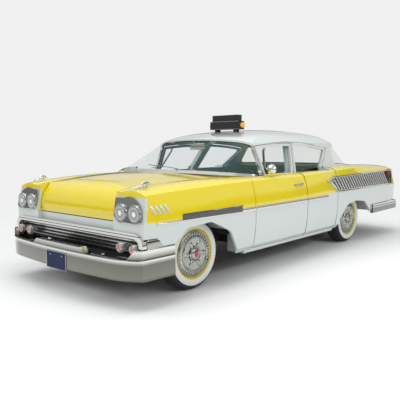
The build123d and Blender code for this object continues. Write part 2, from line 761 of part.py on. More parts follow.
floor_path = [
    (FLOOR_END_X, BOOT_Z),
    (TRUNK_DROP_X - 60, BOOT_Z),
    (TRUNK_DROP_X, KICK_Z),
    (HEEL_X - 140, KICK_Z),
    (HEEL_X, FLOOR_Z),
    (TOE_X, FLOOR_Z),
    (FIREWALL_X, 620),
    (FIREWALL_X, BELT_Z + 100),
]
BOOT_Y = 800
with BuildPart() as floor_sheet:
    add(sheet_block(floor_path, FLOOR_T, 0, BOOT_Y))
    add(inner.part, mode=Mode.INTERSECT)
    add(box_block(HEEL_X - 30, FRONT_X, FLOOR_EDGE_Y, FAR_Y, 0, HIGH_Z), mode=Mode.SUBTRACT)
    add(box_block(TRUNK_DROP_X, HEEL_X, WHEELHOUSE_IN_Y, FAR_Y, 0, HIGH_Z), mode=Mode.SUBTRACT)
nodes["floor_pan"] = both_sides(floor_sheet.part)

frame_top_path = [
    (REAR_X + 190, BOOT_Z - FLOOR_T),
    (TRUNK_DROP_X - 75, BOOT_Z - FLOOR_T),
    (TRUNK_DROP_X - 15, KICK_Z - FLOOR_T),
    (REAR_AXLE_X + 310, KICK_Z - FLOOR_T),
    (HEEL_X - 370, RAIL_TOP),
    (COWL_X - 155, RAIL_TOP),
    (COWL_X - 5, RAIL_TOP + 15),
    (FRONT_X - 190, RAIL_TOP + 15),
]
OUTRIGGER_REAR_X = REAR_AXLE_X + 620
X_FRONT_Y = 400
X_MIDDLE_Y = 110
X_REAR_Y = 460
frame_plan = [
    (FRONT_X, X_FRONT_Y),
    (COWL_X - 205, X_FRONT_Y),
    (350, X_MIDDLE_Y),
    (-350, X_MIDDLE_Y),
    (REAR_AXLE_X + 290, X_REAR_Y),
    (REAR_X, X_REAR_Y),
]


def rail_edge(side):
    """One edge of the chassis rail from above, on its outer (+1) or inner (-1) side."""
    return [(x, y + side * RAIL_W / 2) for x, y in frame_plan]


with BuildPart() as chassis:
    add(sheet_block(frame_top_path, RAIL_H, 0, ROCKER_IN_Y))
    with BuildSketch(Plane.XY):
        with BuildLine():
            Polyline(*rail_edge(1), *rail_edge(-1)[::-1], close=True)
        make_face()
        for x in (FRONT_X - 240, REAR_X + 240, TRUNK_DROP_X + 60):
            with Locations((x, X_REAR_Y / 2)):
                Rectangle(80, X_REAR_Y)
        for x in (COWL_X - 260, OUTRIGGER_REAR_X):
            with Locations((x, (X_MIDDLE_Y + ROCKER_IN_Y) / 2)):
                Rectangle(90, ROCKER_IN_Y - X_MIDDLE_Y)
    extrude(amount=HIGH_Z, mode=Mode.INTERSECT)
    add(box_block(-350, 350, 0, X_MIDDLE_Y, RAIL_TOP - RAIL_H, RAIL_TOP - RAIL_H + 12))
    add(box_block(-PAD_HALF, PAD_HALF, 0, PAD_HALF, RAIL_TOP - RAIL_H - PAD_T, RAIL_TOP - RAIL_H))
    add(sheet_block(floor_path, FLOOR_T + SEAT, 0, FAR_Y), mode=Mode.SUBTRACT)
    above_floor = side_block([*floor_path, (FIREWALL_X, HIGH_Z), (FLOOR_END_X, HIGH_Z)])
    add(above_floor, mode=Mode.SUBTRACT)
nodes["chassis_frame"] = both_sides(chassis.part)

FRAME_FRONT_BOTTOM = RAIL_TOP + 15 - RAIL_H
ENGINE_X = FRONT_AXLE_X - 10
ENGINE_HALF_LENGTH = 340
ENGINE_HALF_WIDTH = 270
ENGINE_TOP_Z = 870
MOUNT_REACH_Y = X_FRONT_Y - RAIL_W / 2 - SEAT
with BuildPart() as engine:
    add(
        box_block(
            ENGINE_X - ENGINE_HALF_LENGTH,
            ENGINE_X + ENGINE_HALF_LENGTH,
            -ENGINE_HALF_WIDTH,
            ENGINE_HALF_WIDTH,
            FRAME_FRONT_BOTTOM + 15,
            ENGINE_TOP_Z,
        )
    )
    fillet(engine.edges().filter_by(Axis.X), 60)
    add(box_block(ENGINE_X - 40, ENGINE_X + 40, -MOUNT_REACH_Y, MOUNT_REACH_Y, 320, 380))
nodes["engine"] = engine.part

# Suspension, axles and wheels
KING_Y = 630
POST_R = 25
POST_LOW_Z = 215
POST_HIGH_Z = 440
SPINDLE_R = 20
HUB_FIT = 0.3
SPINDLE_END_Y = WHEEL_Y + 40


def axle_plane(x):
    """Plane across the car through a wheel centre: its own x is the distance to the left."""
    return Plane(origin=(x, 0, TYRE_RADIUS), x_dir=(0, 1, 0), z_dir=(1, 0, 0))


def wheel_axis(x):
    return Axis((x, 0, TYRE_RADIUS), (0, 1, 0))


def tyre_at(x):
    """A rounded tyre on its rim seat."""
    half = TYRE_WIDTH / 2
    bulge_r = RIM_RADIUS + 52
    tread_r = TYRE_RADIUS - 14
    in_bead, out_bead = (WHEEL_Y - half + 20, RIM_RADIUS), (WHEEL_Y + half - 20, RIM_RADIUS)
    in_tread, out_tread = (WHEEL_Y - half + 24, tread_r), (WHEEL_Y + half - 24, tread_r)
    with BuildPart() as tyre:
        with BuildSketch(axle_plane(x)):
            with BuildLine():
                Line(in_bead, out_bead)
                ThreePointArc(out_bead, (WHEEL_Y + half, bulge_r), out_tread)
                ThreePointArc(out_tread, (WHEEL_Y, TYRE_RADIUS), in_tread)
                ThreePointArc(in_tread, (WHEEL_Y - half, bulge_r), in_bead)
            make_face()
        revolve(axis=wheel_axis(x))
    return tyre.part


def wheel_at(x):
    """Rim, disc, hub and domed cover of one wheel as one turning piece."""
    rim_in = WHEEL_Y - RIM_WIDTH / 2
    rim_out = WHEEL_Y + RIM_WIDTH / 2
    face_y = rim_out + 6
    profile = [
        (rim_in, RIM_RADIUS),
        (rim_in, RIM_RADIUS - 16),
        (rim_out - 40, RIM_RADIUS - 22),
        (rim_out - 40, 62),
        (WHEEL_Y - 40, 62),
        (WHEEL_Y - 40, SPINDLE_R + HUB_FIT),
        (SPINDLE_END_Y + 2, SPINDLE_R + HUB_FIT),
        (SPINDLE_END_Y + 2, 0),
        (face_y + 24, 0),
        (face_y + 22, 50),
        (face_y + 6, 62),
        (face_y + 10, 140),
        (face_y, COVER_RADIUS - 12),
        (face_y - 6, COVER_RADIUS),
        (rim_out, RIM_RADIUS),
    ]
    with BuildPart() as wheel:
        with BuildSketch(axle_plane(x)):
            with BuildLine():
                Polyline(*profile, close=True)
            make_face()
        revolve(axis=wheel_axis(x))
    return wheel.part


for corner, x in (("front", FRONT_AXLE_X), ("rear", REAR_AXLE_X)):
    tyre, wheel = tyre_at(x), wheel_at(x)
    nodes[f"tyre_{corner}_left"] = tyre
    nodes[f"tyre_{corner}_right"] = tyre.mirror(Plane.XZ)
    nodes[f"wheel_{corner}_left"] = wheel
    nodes[f"wheel_{corner}_right"] = wheel.mirror(Plane.XZ)

with BuildPart() as knuckle:
    with BuildSketch(Plane.XY.offset(POST_LOW_Z)):
        with Locations((FRONT_AXLE_X, KING_Y)):
            Circle(POST_R)
    extrude(amount=POST_HIGH_Z - POST_LOW_Z)
    with BuildSketch(side_plane(SPINDLE_END_Y)):
        with Locations((FRONT_AXLE_X, TYRE_RADIUS)):
            Circle(SPINDLE_R)
    extrude(amount=SPINDLE_END_Y - KING_Y)
nodes["knuckle_left"] = knuckle.part
nodes["knuckle_right"] = knuckle.part.mirror(Plane.XZ)

ARM_T = 28


def arm(low_z, in_y, in_half):
    """One suspension arm, wide at the frame and narrow at the knuckle."""
    outline = [
        (FRONT_AXLE_X - in_half, in_y),
        (FRONT_AXLE_X + in_half, in_y),
        (FRONT_AXLE_X + POST_R, KING_Y),
        (FRONT_AXLE_X - POST_R, KING_Y),
    ]
    with BuildPart() as plate:
        add(plan_block(outline, low_z, low_z + ARM_T))
        with BuildSketch(Plane.XY.offset(low_z)):
            with Locations((FRONT_AXLE_X, KING_Y)):
                Circle(POST_R)
        extrude(amount=ARM_T)
    return plate.part


with BuildPart() as suspension:
    low_z = POST_LOW_Z - HUB_FIT - ARM_T
    high_z = POST_HIGH_Z + HUB_FIT
    tower_out_y = X_FRONT_Y + 40
    add(box_block(FRONT_AXLE_X - 60, FRONT_AXLE_X + 60, 0, tower_out_y, low_z, FRAME_FRONT_BOTTOM - SEAT))
    add(arm(low_z, X_FRONT_Y + 20, 120))
    add(
        box_block(
            FRONT_AXLE_X - 100,
            FRONT_AXLE_X + 100,
            X_FRONT_Y - 40,
            tower_out_y,
            RAIL_TOP + 15 + SEAT,
            high_z + ARM_T,
        )
    )
    add(arm(high_z, X_FRONT_Y + 20, 90))
nodes["front_suspension"] = both_sides(suspension.part)

AXLE_TUBE_R = 38
AXLE_TUBE_END_Y = WHEEL_Y - 60
axle_profile = [
    (0, 0),
    (0, 135),
    (60, 125),
    (130, AXLE_TUBE_R),
    (AXLE_TUBE_END_Y, AXLE_TUBE_R),
    (AXLE_TUBE_END_Y, SPINDLE_R),
    (SPINDLE_END_Y, SPINDLE_R),
    (SPINDLE_END_Y, 0),
]
SPRING_TOP_Z = KICK_Z - FLOOR_T - RAIL_H
LINK_TOP_Z = RAIL_TOP - RAIL_H
with BuildPart() as rear_axle:
    with BuildSketch(axle_plane(REAR_AXLE_X)):
        with BuildLine():
            Polyline(*axle_profile, close=True)
        make_face()
    revolve(axis=wheel_axis(REAR_AXLE_X))
    for x_end, z_from, z_to in (
        (REAR_AXLE_X + 30, TYRE_RADIUS + 20, SPRING_TOP_Z - SEAT),
        (OUTRIGGER_REAR_X + 20, LINK_TOP_Z - 40, LINK_TOP_Z - SEAT),
        (REAR_AXLE_X + 30, LINK_TOP_Z - 40, TYRE_RADIUS),
    ):
        add(box_block(REAR_AXLE_X - 30, x_end, X_REAR_Y - 25, X_REAR_Y + 25, z_from, z_to))
nodes["rear_axle"] = both_sides(rear_axle.part)

PROP_R = 30
GEARBOX_REAR_X = COWL_X - 200
ENGINE_REAR_X = ENGINE_X - ENGINE_HALF_LENGTH


def tube_along_x(x_from, x_to, y, z, r_from, r_to):
    """A round piece along the car, straight or tapered."""
    with BuildPart() as tube:
        with BuildSketch(Plane(origin=(x_from, y, z), x_dir=(0, 1, 0), z_dir=(1, 0, 0))):
            Circle(r_from)
        with BuildSketch(Plane(origin=(x_to, y, z), x_dir=(0, 1, 0), z_dir=(1, 0, 0))):
            Circle(r_to)
        loft(ruled=True)
    return tube.part


with BuildPart() as driveline:
    add(tube_along_x(GEARBOX_REAR_X, ENGINE_REAR_X - SEAT, 0, TYRE_RADIUS, 50, 76))
    add(tube_along_x(REAR_AXLE_X + 135 + SEAT, GEARBOX_REAR_X + 5, 0, TYRE_RADIUS, PROP_R, PROP_R))
nodes["driveline"] = driveline.part

PIPE_R = 22
PIPE_Y = -330
PIPE_Z = 245
MUFFLER_Z = 285
with BuildPart() as exhaust:
    with BuildLine() as run:
        FilletPolyline(
            (FIREWALL_X + 225, -268, 400),
            (FIREWALL_X + 155, PIPE_Y, PIPE_Z),
            (REAR_X + 220, PIPE_Y, PIPE_Z),
            radius=60,
        )
    with BuildSketch(Plane(origin=run.line @ 0, z_dir=run.line % 0)):
        Circle(PIPE_R)
    sweep()
    add(tube_along_x(0, 450, PIPE_Y, MUFFLER_Z, 60, 60))
    add(box_block(205, 245, PIPE_Y - 15, PIPE_Y + 15, MUFFLER_Z, RAIL_TOP - SEAT))
    add(
        box_block(COWL_X, FRONT_X, -ENGINE_HALF_WIDTH - SEAT, 0, 0, ENGINE_TOP_Z),
        mode=Mode.SUBTRACT,
    )
nodes["exhaust"] = exhaust.part

with BuildPart() as tank:
    add(box_block(TRUNK_DROP_X - 570, TRUNK_DROP_X - 100, -280, 280, 255, BOOT_Z - FLOOR_T - SEAT))
    fillet(tank.edges(), 30)
nodes["fuel_tank"] = tank.part

# Bumpers: each a curved shell with a raised middle, lower shoulders and raised, wrapped ends
BUMPER_LOW_Z = 232
BUMPER_T = 60
BUMPER_ROUND = 14
PLATE_HOLE_R = 3.5
PLATE_HOLE_Y = 177.8 / 2
PLATE_HOLE_Z = 340
BumperPlan = namedtuple("BumperPlan", "face flat_y bend_x bend_y corner_x corner_y wrap_x wrap_y")
FRONT_WRAP_X = FRONT_AXLE_X + 375
REAR_WRAP_X = REAR_AXLE_X - 480


def bumper_shell(plan, toward_rear, low_z, top_z):
    """Half a bumper from above: an arc from its flat middle, a rounded corner and a straight end."""
    back = toward_rear

    def inward(x, y, depth, side):
        return (x + back * depth, y - side)

    start, flat = (plan.face, 0), (plan.face, plan.flat_y)
    bend, corner = (plan.bend_x, plan.bend_y), (plan.corner_x, plan.corner_y)
    swell = ((plan.bend_x + plan.corner_x) / 2 - back * 18, (plan.bend_y + plan.corner_y) / 2 + 26)
    wrap = (plan.wrap_x, plan.wrap_y)
    with BuildPart() as shell:
        with BuildSketch(Plane.XY.offset(low_z)):
            with BuildLine():
                Line(start, flat)
                ThreePointArc(flat, ((flat[0] * 2 + bend[0]) / 3 , (flat[1] + bend[1]) / 2), bend)
                ThreePointArc(bend, swell, corner)
                Polyline(
                    corner,
                    wrap,
                    inward(*wrap, 0, BUMPER_T * 0.7),
                    inward(*corner, BUMPER_T, BUMPER_T * 0.8),
                    inward(*bend, BUMPER_T * 1.2, BUMPER_T * 0.5),
                    inward(*flat, BUMPER_T, 0),
                    inward(*start, BUMPER_T, 0),
                    start,
                )
            make_face()
        extrude(amount=top_z - low_z)
    return shell.part


def front_view_block(points):
    """A block along the whole car from an outline in the front view."""
    with BuildPart() as block:
        with BuildSketch(section_plane(REAR_X - 100)):
            with BuildLine():
                Polyline(*points, close=True)
            make_face()
        extrude(amount=LENGTH + 200)
    return block.part


front_plan = BumperPlan(
    FRONT_X, 150, FRONT_X - 30, 660, FRONT_X - 145, 958, FRONT_WRAP_X, 970
)
front_top_points = [
    (-10, 450),
    (330, 450),
    (395, 404),
    (850, 404),
    (905, 476),
    (FAR_Y, 476),
    (FAR_Y, HIGH_Z),
    (-10, HIGH_Z),
]
with BuildPart() as front_bumper:
    add(bumper_shell(front_plan, -1, BUMPER_LOW_Z, 520))
    add(front_view_block(front_top_points), mode=Mode.SUBTRACT)
    with BuildSketch(section_plane(FRONT_X)):
        with Locations((PLATE_HOLE_Y, PLATE_HOLE_Z)):
            Circle(PLATE_HOLE_R)
    extrude(amount=-2 * BUMPER_T, mode=Mode.SUBTRACT)
    fillet(front_bumper.edges().group_by(Axis.Z)[0].filter_by(GeomType.CIRCLE), BUMPER_ROUND)
    arm_from, arm_to = X_FRONT_Y - 35, X_FRONT_Y + 35
    add(box_block(FRONT_X - 190 + SEAT, FRONT_X - 45, arm_from, arm_to, FRAME_FRONT_BOTTOM + 5, RAIL_TOP))
nodes["front_bumper"] = both_sides(front_bumper.part)

REAR_BUMPER_LOW_Z = 345
rear_plan = BumperPlan(REAR_X, 200, REAR_X + 34, 660, REAR_X + 135, 955, REAR_WRAP_X, 968)
rear_top_points = [
    (-10, 455),
    (560, 455),
    (620, 430),
    (860, 430),
    (900, 463),
    (FAR_Y, 463),
    (FAR_Y, HIGH_Z),
    (-10, HIGH_Z),
]
with BuildPart() as rear_bumper:
    add(bumper_shell(rear_plan, 1, REAR_BUMPER_LOW_Z, 520))
    add(front_view_block(rear_top_points), mode=Mode.SUBTRACT)
    arm_from, arm_to = X_REAR_Y - 35, X_REAR_Y + 35
    arm_top_z = BOOT_Z - FLOOR_T - 35
    add(box_block(REAR_X + 45, REAR_X + 190 - SEAT, arm_from, arm_to, REAR_BUMPER_LOW_Z + 10, arm_top_z))
nodes["rear_bumper"] = both_sides(rear_bumper.part)

# Grille, headlamps and small lamps
GRILLE_X = FRONT_AXLE_X + 620
GRILLE_T = 12
GRILLE_TOP_Z = NOSE_BOTTOM_Z - SEAT
GRILLE_LOW_Z = RAIL_TOP + 20
GRILLE_HALF = 905
GRILLE_ROUND = 60
BAR_H = 8
BAR_ZS = (435, 465, 495, 525)
grille_z = (GRILLE_TOP_Z + GRILLE_LOW_Z) / 2
grille_h = GRILLE_TOP_Z - GRILLE_LOW_Z
with BuildPart() as grille:
    with BuildSketch(section_plane(GRILLE_X)):
        with Locations((0, grille_z)):
            RectangleRounded(2 * GRILLE_HALF, grille_h, GRILLE_ROUND)
    extrude(amount=GRILLE_T)
    for z in BAR_ZS:
        reach = GRILLE_HALF - 15
        bar_x = GRILLE_X + GRILLE_T
        add(box_block(bar_x, bar_x + BAR_H, -reach, reach, z - BAR_H / 2, z + BAR_H / 2))
    for y in (-1, 1):
        bracket = sorted((y * (X_FRONT_Y - 20), y * (X_FRONT_Y + 20)))
        add(box_block(GRILLE_X, GRILLE_X + GRILLE_T, *bracket, RAIL_TOP + 15 + SEAT, GRILLE_LOW_Z + 5))
nodes["grille"] = grille.part

# The chrome surround above the grille, rounded down over its ends
MOULDING_W = 42
MOULDING_LOW_Z = 486
with BuildPart() as surround:
    with BuildSketch(section_plane(GRILLE_X + GRILLE_T + BAR_H + SEAT)):
        with Locations((0, grille_z)):
            RectangleRounded(2 * (GRILLE_HALF + MOULDING_W), grille_h + 2 * MOULDING_W, GRILLE_ROUND + 40)
            RectangleRounded(2 * GRILLE_HALF, grille_h, GRILLE_ROUND, mode=Mode.SUBTRACT)
    extrude(amount=FENDER_FACE_X + 20 - GRILLE_X - GRILLE_T - BAR_H)
    add(box_block(REAR_X, FRONT_X, -FAR_Y, FAR_Y, 0, MOULDING_LOW_Z), mode=Mode.SUBTRACT)
    add(both_sides(outer.part), mode=Mode.SUBTRACT)
nodes["grille_surround"] = surround.part

LAMP_R = 72
LAMP_Z = 746
LAMP_YS = (676, 845)
LAMP_BACK = 40
LAMP_FACE = 14
LAMP_ROUND = 9
BEZEL_T = 18
brow_tilt = radians(BROW_LEAN)
brow_plane = Plane(
    origin=(FENDER_FACE_X, 0, BROW_LOW_Z),
    x_dir=(0, 1, 0),
    z_dir=(cos(brow_tilt), 0, sin(brow_tilt)),
)


def on_brow(y, z):
    """A point of the front view, put on the leaning face."""
    return (y, (z - BROW_LOW_Z) / cos(brow_tilt))


def lamp_holes(radius):
    """Round blocks along the car where the two left headlamps sit."""
    with BuildPart() as holes:
        with BuildSketch(section_plane(FENDER_FACE_X - 100)):
            with Locations(*[(y, LAMP_Z) for y in LAMP_YS]):
                Circle(radius)
        extrude(amount=200)
    return holes.part


with BuildPart() as bezel:
    with BuildSketch(brow_plane) as face:
        with BuildLine():
            Polyline(on_brow(700, 864), on_brow(592, 861), on_brow(592, 722), on_brow(650, 678))
            Polyline(on_brow(650, 678), on_brow(860, 672), on_brow(922, 690))
            ThreePointArc(on_brow(922, 690), on_brow(890, 812), on_brow(700, 864))
        make_face()
        fillet(face.vertices(), 10)
    extrude(amount=BEZEL_T)
    add(lamp_holes(LAMP_R + SEAT), mode=Mode.SUBTRACT)
nodes["headlamp_bezels"] = both_sides(bezel.part)

with BuildPart() as lamp:
    with BuildSketch(section_plane(FENDER_FACE_X - LAMP_BACK)):
        with Locations(*[(y, LAMP_Z) for y in LAMP_YS]):
            Circle(LAMP_R)
    extrude(amount=LAMP_BACK + LAMP_FACE)
    fillet(lamp.edges().group_by(Axis.X)[-1], LAMP_ROUND)
    add(outer.part, mode=Mode.SUBTRACT)
nodes["headlamps"] = both_sides(lamp.part)

PARKING_R = 38
PARKING_Z = 472
PARKING_YS = (689, 848)
PARKING_FACE_X = FRONT_AXLE_X + 724
parking_back_x = GRILLE_X + GRILLE_T + BAR_H + SEAT
with BuildPart() as parking:
    with BuildSketch(section_plane(parking_back_x)):
        with Locations(*[(y, PARKING_Z) for y in PARKING_YS]):
            Circle(PARKING_R * 0.7)
    extrude(amount=PARKING_FACE_X - 34 - parking_back_x)
    with BuildSketch(section_plane(PARKING_FACE_X - 34)):
        with Locations(*[(y, PARKING_Z) for y in PARKING_YS]):
            Circle(PARKING_R)
    extrude(amount=34)
    fillet(parking.edges().group_by(Axis.X)[-1], 8)
nodes["parking_lamps"] = both_sides(parking.part)

TAIL_LAMP_R = 48
with BuildPart() as tail_lamp:
    with BuildSketch(section_plane(TAIL_X - SEAT)):
        with Locations((700, 610), (815, 610)):
            Circle(TAIL_LAMP_R)
    extrude(amount=-30)
nodes["tail_lamps"] = both_sides(tail_lamp.part)

# Louvred panels in the cove behind the doors
LOUVRE_T = 6
louvre_points = [
    (REAR_AXLE_X + 685, BELT_Z - 62),
    (REAR_AXLE_X + 790, BELT_Z - 101),
    (REAR_AXLE_X + 620, CREASE_Z + 38),
    (REAR_AXLE_X - 1060, CREASE_Z + 28),
    (REAR_AXLE_X - 1110, BELT_Z - 45),
]
with BuildPart() as louvre_sheet:
    add(body_form(-LOUVRE_T, SILL_Z, 0, 0))
    add(outer.part, mode=Mode.SUBTRACT)
    add(side_block(louvre_points, HALF_WIDTH - 200, FAR_Y, 12), mode=Mode.INTERSECT)
with BuildPart() as louvre_quarter:
    add(louvre_sheet.part)
    add(box_block(REAR_X, DOOR_REAR_X - GAP / 2, 0, FAR_Y, 0, HIGH_Z), mode=Mode.INTERSECT)
nodes["louvres"] = both_sides(louvre_quarter.part)
with BuildPart() as louvre_door:
    add(louvre_sheet.part)
    add(box_block(DOOR_REAR_X + GAP / 2, 0, 0, FAR_Y, 0, HIGH_Z), mode=Mode.INTERSECT)
nodes["louvre_door_left"] = louvre_door.part
nodes["louvre_door_right"] = louvre_door.part.mirror(Plane.XZ)

# Cabin: seats, dashboard and steering wheel
SEAT_BASE_Z = FLOOR_Z + SEAT


def bench(points, half_width, rounding):
    """A bench seat from its outline in the side view."""
    with BuildPart() as seat:
        add(side_block(points, -half_width, half_width))
        fillet(seat.edges().filter_by(Axis.Y), rounding)
    return seat.part


front_seat_points = [
    (DOOR_SPLIT_X + 400, SEAT_BASE_Z),
    (DOOR_SPLIT_X + 430, 640),
    (DOOR_SPLIT_X - 60, 615),
    (DOOR_SPLIT_X - 175, 985),
    (DOOR_SPLIT_X - 275, 975),
    (DOOR_SPLIT_X - 190, SEAT_BASE_Z),
]
nodes["front_seat"] = bench(front_seat_points, 650, 30)
rear_seat_points = [
    (HEEL_X + 150, SEAT_BASE_Z),
    (HEEL_X + 170, 655),
    (HEEL_X - 330, 640),
    (HEEL_X - 470, BELT_Z + 5),
    (HEEL_X - 560, BELT_Z - 5),
    (HEEL_X - 440, KICK_Z + SEAT),
    (HEEL_X - 140 + 30, KICK_Z + SEAT),
    (HEEL_X + 30, SEAT_BASE_Z),
]
nodes["rear_seat"] = bench(rear_seat_points, WHEELHOUSE_IN_Y - 12, 20)

DASH_X = COWL_X - 215
DRIVER_Y = 400
HUB = (FRONT_AXLE_X - 1233, DRIVER_Y, 884)
COLUMN_RAKE = 25
WHEEL_RING_R = 205
COLUMN_R = 22
rake = radians(COLUMN_RAKE)
hub_plane = Plane(origin=HUB, x_dir=(0, 1, 0), z_dir=(-cos(rake), 0, sin(rake)))
ring_start = hub_plane.from_local_coords((WHEEL_RING_R, 0, 0))
with BuildPart() as wheel_rim:
    with BuildLine(hub_plane):
        CenterArc((0, 0), WHEEL_RING_R, 0, 360)
    with BuildSketch(Plane(origin=ring_start, x_dir=hub_plane.x_dir, z_dir=hub_plane.y_dir)):
        Circle(12)
    sweep()
    with BuildSketch(hub_plane.offset(-25)):
        Circle(38)
    extrude(amount=35)
    with BuildSketch(hub_plane.offset(-8)):
        Rectangle(2 * WHEEL_RING_R, 26)
    extrude(amount=12)
    with BuildSketch(hub_plane.offset(-25)):
        Circle(COLUMN_R)
    extrude(amount=-560)
nodes["steering_wheel"] = wheel_rim.part

DASH_HALF = 735
dash_points = [
    (DASH_X, 905),
    (DASH_X - 30, 850),
    (DASH_X + 10, 700),
    (DASH_X + 130, 690),
    (DASH_X + 130, 905),
]
with BuildPart() as dash:
    with BuildSketch(side_plane(DASH_HALF)) as section:
        with BuildLine():
            Polyline(*dash_points, close=True)
        make_face()
        fillet(section.vertices(), 20)
    extrude(amount=2 * DASH_HALF)
    with BuildSketch(hub_plane):
        Circle(COLUMN_R + SEAT)
    extrude(amount=-800, mode=Mode.SUBTRACT)
nodes["dashboard"] = dash.part

# Driver's mirror on the left front door
MIRROR_X = FRONT_AXLE_X - 1080
MIRROR_Y = 900
MIRROR_Z = 1030
mirror_profile = [(-22, 0), (-22, 52), (-12, 55), (14, 44), (30, 22), (34, 0)]
with BuildPart() as door_mirror:
    with BuildSketch(Plane(origin=(MIRROR_X, MIRROR_Y, MIRROR_Z), x_dir=(1, 0, 0), z_dir=(0, -1, 0))):
        with BuildLine():
            Polyline(*mirror_profile, close=True)
        make_face()
    revolve(axis=Axis((MIRROR_X, MIRROR_Y, MIRROR_Z), (1, 0, 0)))
    with BuildSketch(Plane(origin=(MIRROR_X + 4, MIRROR_Y - 4, MIRROR_Z), x_dir=(1, 0, 0), z_dir=(0, -32, -90))):
        Circle(8)
    extrude(amount=105)
    add(nodes["door_front_left"], mode=Mode.SUBTRACT)
nodes["door_mirror"] = door_mirror.part

# Roof sign
SIGN_X = FRONT_AXLE_X - 1480
SIGN_HALF = 222
SIGN_T = 90
SIGN_LOW_Z = ROOF_Z + 4
SIGN_STEP_Z = SIGN_LOW_Z + 95
SIGN_TOP_Z = SIGN_LOW_Z + 168
with BuildPart() as sign:
    for depth, half, z_from, z_to in (
        (SIGN_T / 2, SIGN_HALF, SIGN_LOW_Z, SIGN_STEP_Z),
        (SIGN_T / 2 - 8, SIGN_HALF - 30, SIGN_STEP_Z, SIGN_TOP_Z),
    ):
        add(box_block(SIGN_X - depth, SIGN_X + depth, -half, half, z_from, z_to))
    for y in (-1, 1):
        foot = sorted((y * 120, y * 160))
        add(box_block(SIGN_X - 30, SIGN_X + 30, *foot, ROOF_Z - 60, SIGN_LOW_Z))
    add(nodes["roof"], mode=Mode.SUBTRACT)
    add(both_sides(glass_inner), mode=Mode.SUBTRACT)
nodes["roof_sign"] = sign.part

with BuildPart() as sign_lamp:
    with BuildSketch(Plane.XZ.offset(-SIGN_HALF - SEAT)):
        with Locations((SIGN_X, SIGN_LOW_Z + 48)):
            Circle(30)
    extrude(amount=-22)
nodes["sign_lamps"] = both_sides(sign_lamp.part)

for name, part in nodes.items():
    part.label = name
    export_step(part, f"parts/{name}.step")
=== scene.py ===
# %% [markdown]
# # Taxi cab: the looks around a imported frame
# The frame holds the doors, glass, wheels and chassis as they were built. This script gives them
# paint, chrome and rubber, and adds the trim. It begins with what every later step leans on: the
# tools and the frame.

# %% Load the frame
import math

import bmesh
import bpy
from mathutils import Matrix, Vector
from mathutils.bvhtree import BVHTree


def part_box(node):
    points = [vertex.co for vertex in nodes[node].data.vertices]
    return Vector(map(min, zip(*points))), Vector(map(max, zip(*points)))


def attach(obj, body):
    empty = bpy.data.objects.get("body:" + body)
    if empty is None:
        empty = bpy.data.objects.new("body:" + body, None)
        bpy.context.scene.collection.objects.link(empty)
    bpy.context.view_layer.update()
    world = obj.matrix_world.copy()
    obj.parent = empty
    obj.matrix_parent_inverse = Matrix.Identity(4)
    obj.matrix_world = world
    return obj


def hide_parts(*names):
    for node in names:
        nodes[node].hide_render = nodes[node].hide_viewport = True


SIDES = (("left", 1), ("right", -1))

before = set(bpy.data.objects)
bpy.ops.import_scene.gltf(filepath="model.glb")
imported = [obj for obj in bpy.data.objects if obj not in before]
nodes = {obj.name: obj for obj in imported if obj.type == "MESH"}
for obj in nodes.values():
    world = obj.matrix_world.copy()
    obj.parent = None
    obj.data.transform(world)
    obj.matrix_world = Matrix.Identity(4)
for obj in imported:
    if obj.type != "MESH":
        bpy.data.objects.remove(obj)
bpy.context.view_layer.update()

# %% [markdown]
# ## Camera
# The photograph was solved for its camera: about four metres from the left headlamps and 1.26 m
# above the ground, looking back along the car. A camera looks along its own -Z, so its matrix is
# built from the three directions right, up and backwards.

# %% Photograph's camera
CAMERA_PLACE = Vector((5.0085, 3.812, 1.264))
CAMERA_YAW = math.radians(-138.35)
CAMERA_PITCH = math.radians(-6.10)
CAMERA_ROLL = math.radians(-0.337)
SENSOR_WIDTH = 36.0
FOCAL_PIXELS = 505.05
PHOTO_PIXELS = 400
PHOTO_CENTRE = (204.48, 200.66)

forward = Vector(
    (
        math.cos(CAMERA_YAW) * math.cos(CAMERA_PITCH),
        math.sin(CAMERA_YAW) * math.cos(CAMERA_PITCH),
        math.sin(CAMERA_PITCH),
    )
)
level_right = forward.cross(Vector((0, 0, 1))).normalized()
level_up = level_right.cross(forward)
right = level_right * math.cos(CAMERA_ROLL) + level_up * math.sin(CAMERA_ROLL)
up = right.cross(forward)

camera_data = bpy.data.cameras.new("photo_camera")
camera_data.sensor_width = SENSOR_WIDTH
camera_data.lens = SENSOR_WIDTH * FOCAL_PIXELS / PHOTO_PIXELS
camera_data.shift_x = (PHOTO_PIXELS / 2 - PHOTO_CENTRE[0]) / PHOTO_PIXELS
camera_data.shift_y = (PHOTO_CENTRE[1] - PHOTO_PIXELS / 2) / PHOTO_PIXELS
camera = bpy.data.objects.new("photo_camera", camera_data)
bpy.context.scene.collection.objects.link(camera)
turn = Matrix((right, up, -forward)).transposed()
camera.matrix_world = Matrix.Translation(CAMERA_PLACE) @ turn.to_4x4()
bpy.context.scene.camera = camera
print("lens", round(camera_data.lens, 2), "mm")

# %% [markdown]
# ## Stage and light
# A painted and chromed car shows its surroundings as much as its own colour. A studio gives it a pale
# room without edges: one flat floor and a world of the same grey, so no horizon shows. A broad sun
# draws the soft shadow under the sills, and two long narrow lamps draw bright lines along the enamel.
# The world's light is dark up to a little above its horizon, which gives chrome the dark line that
# makes it look like chrome. The camera sees the world at a fixed pale level, and the floor fades to
# the same level away from the car.

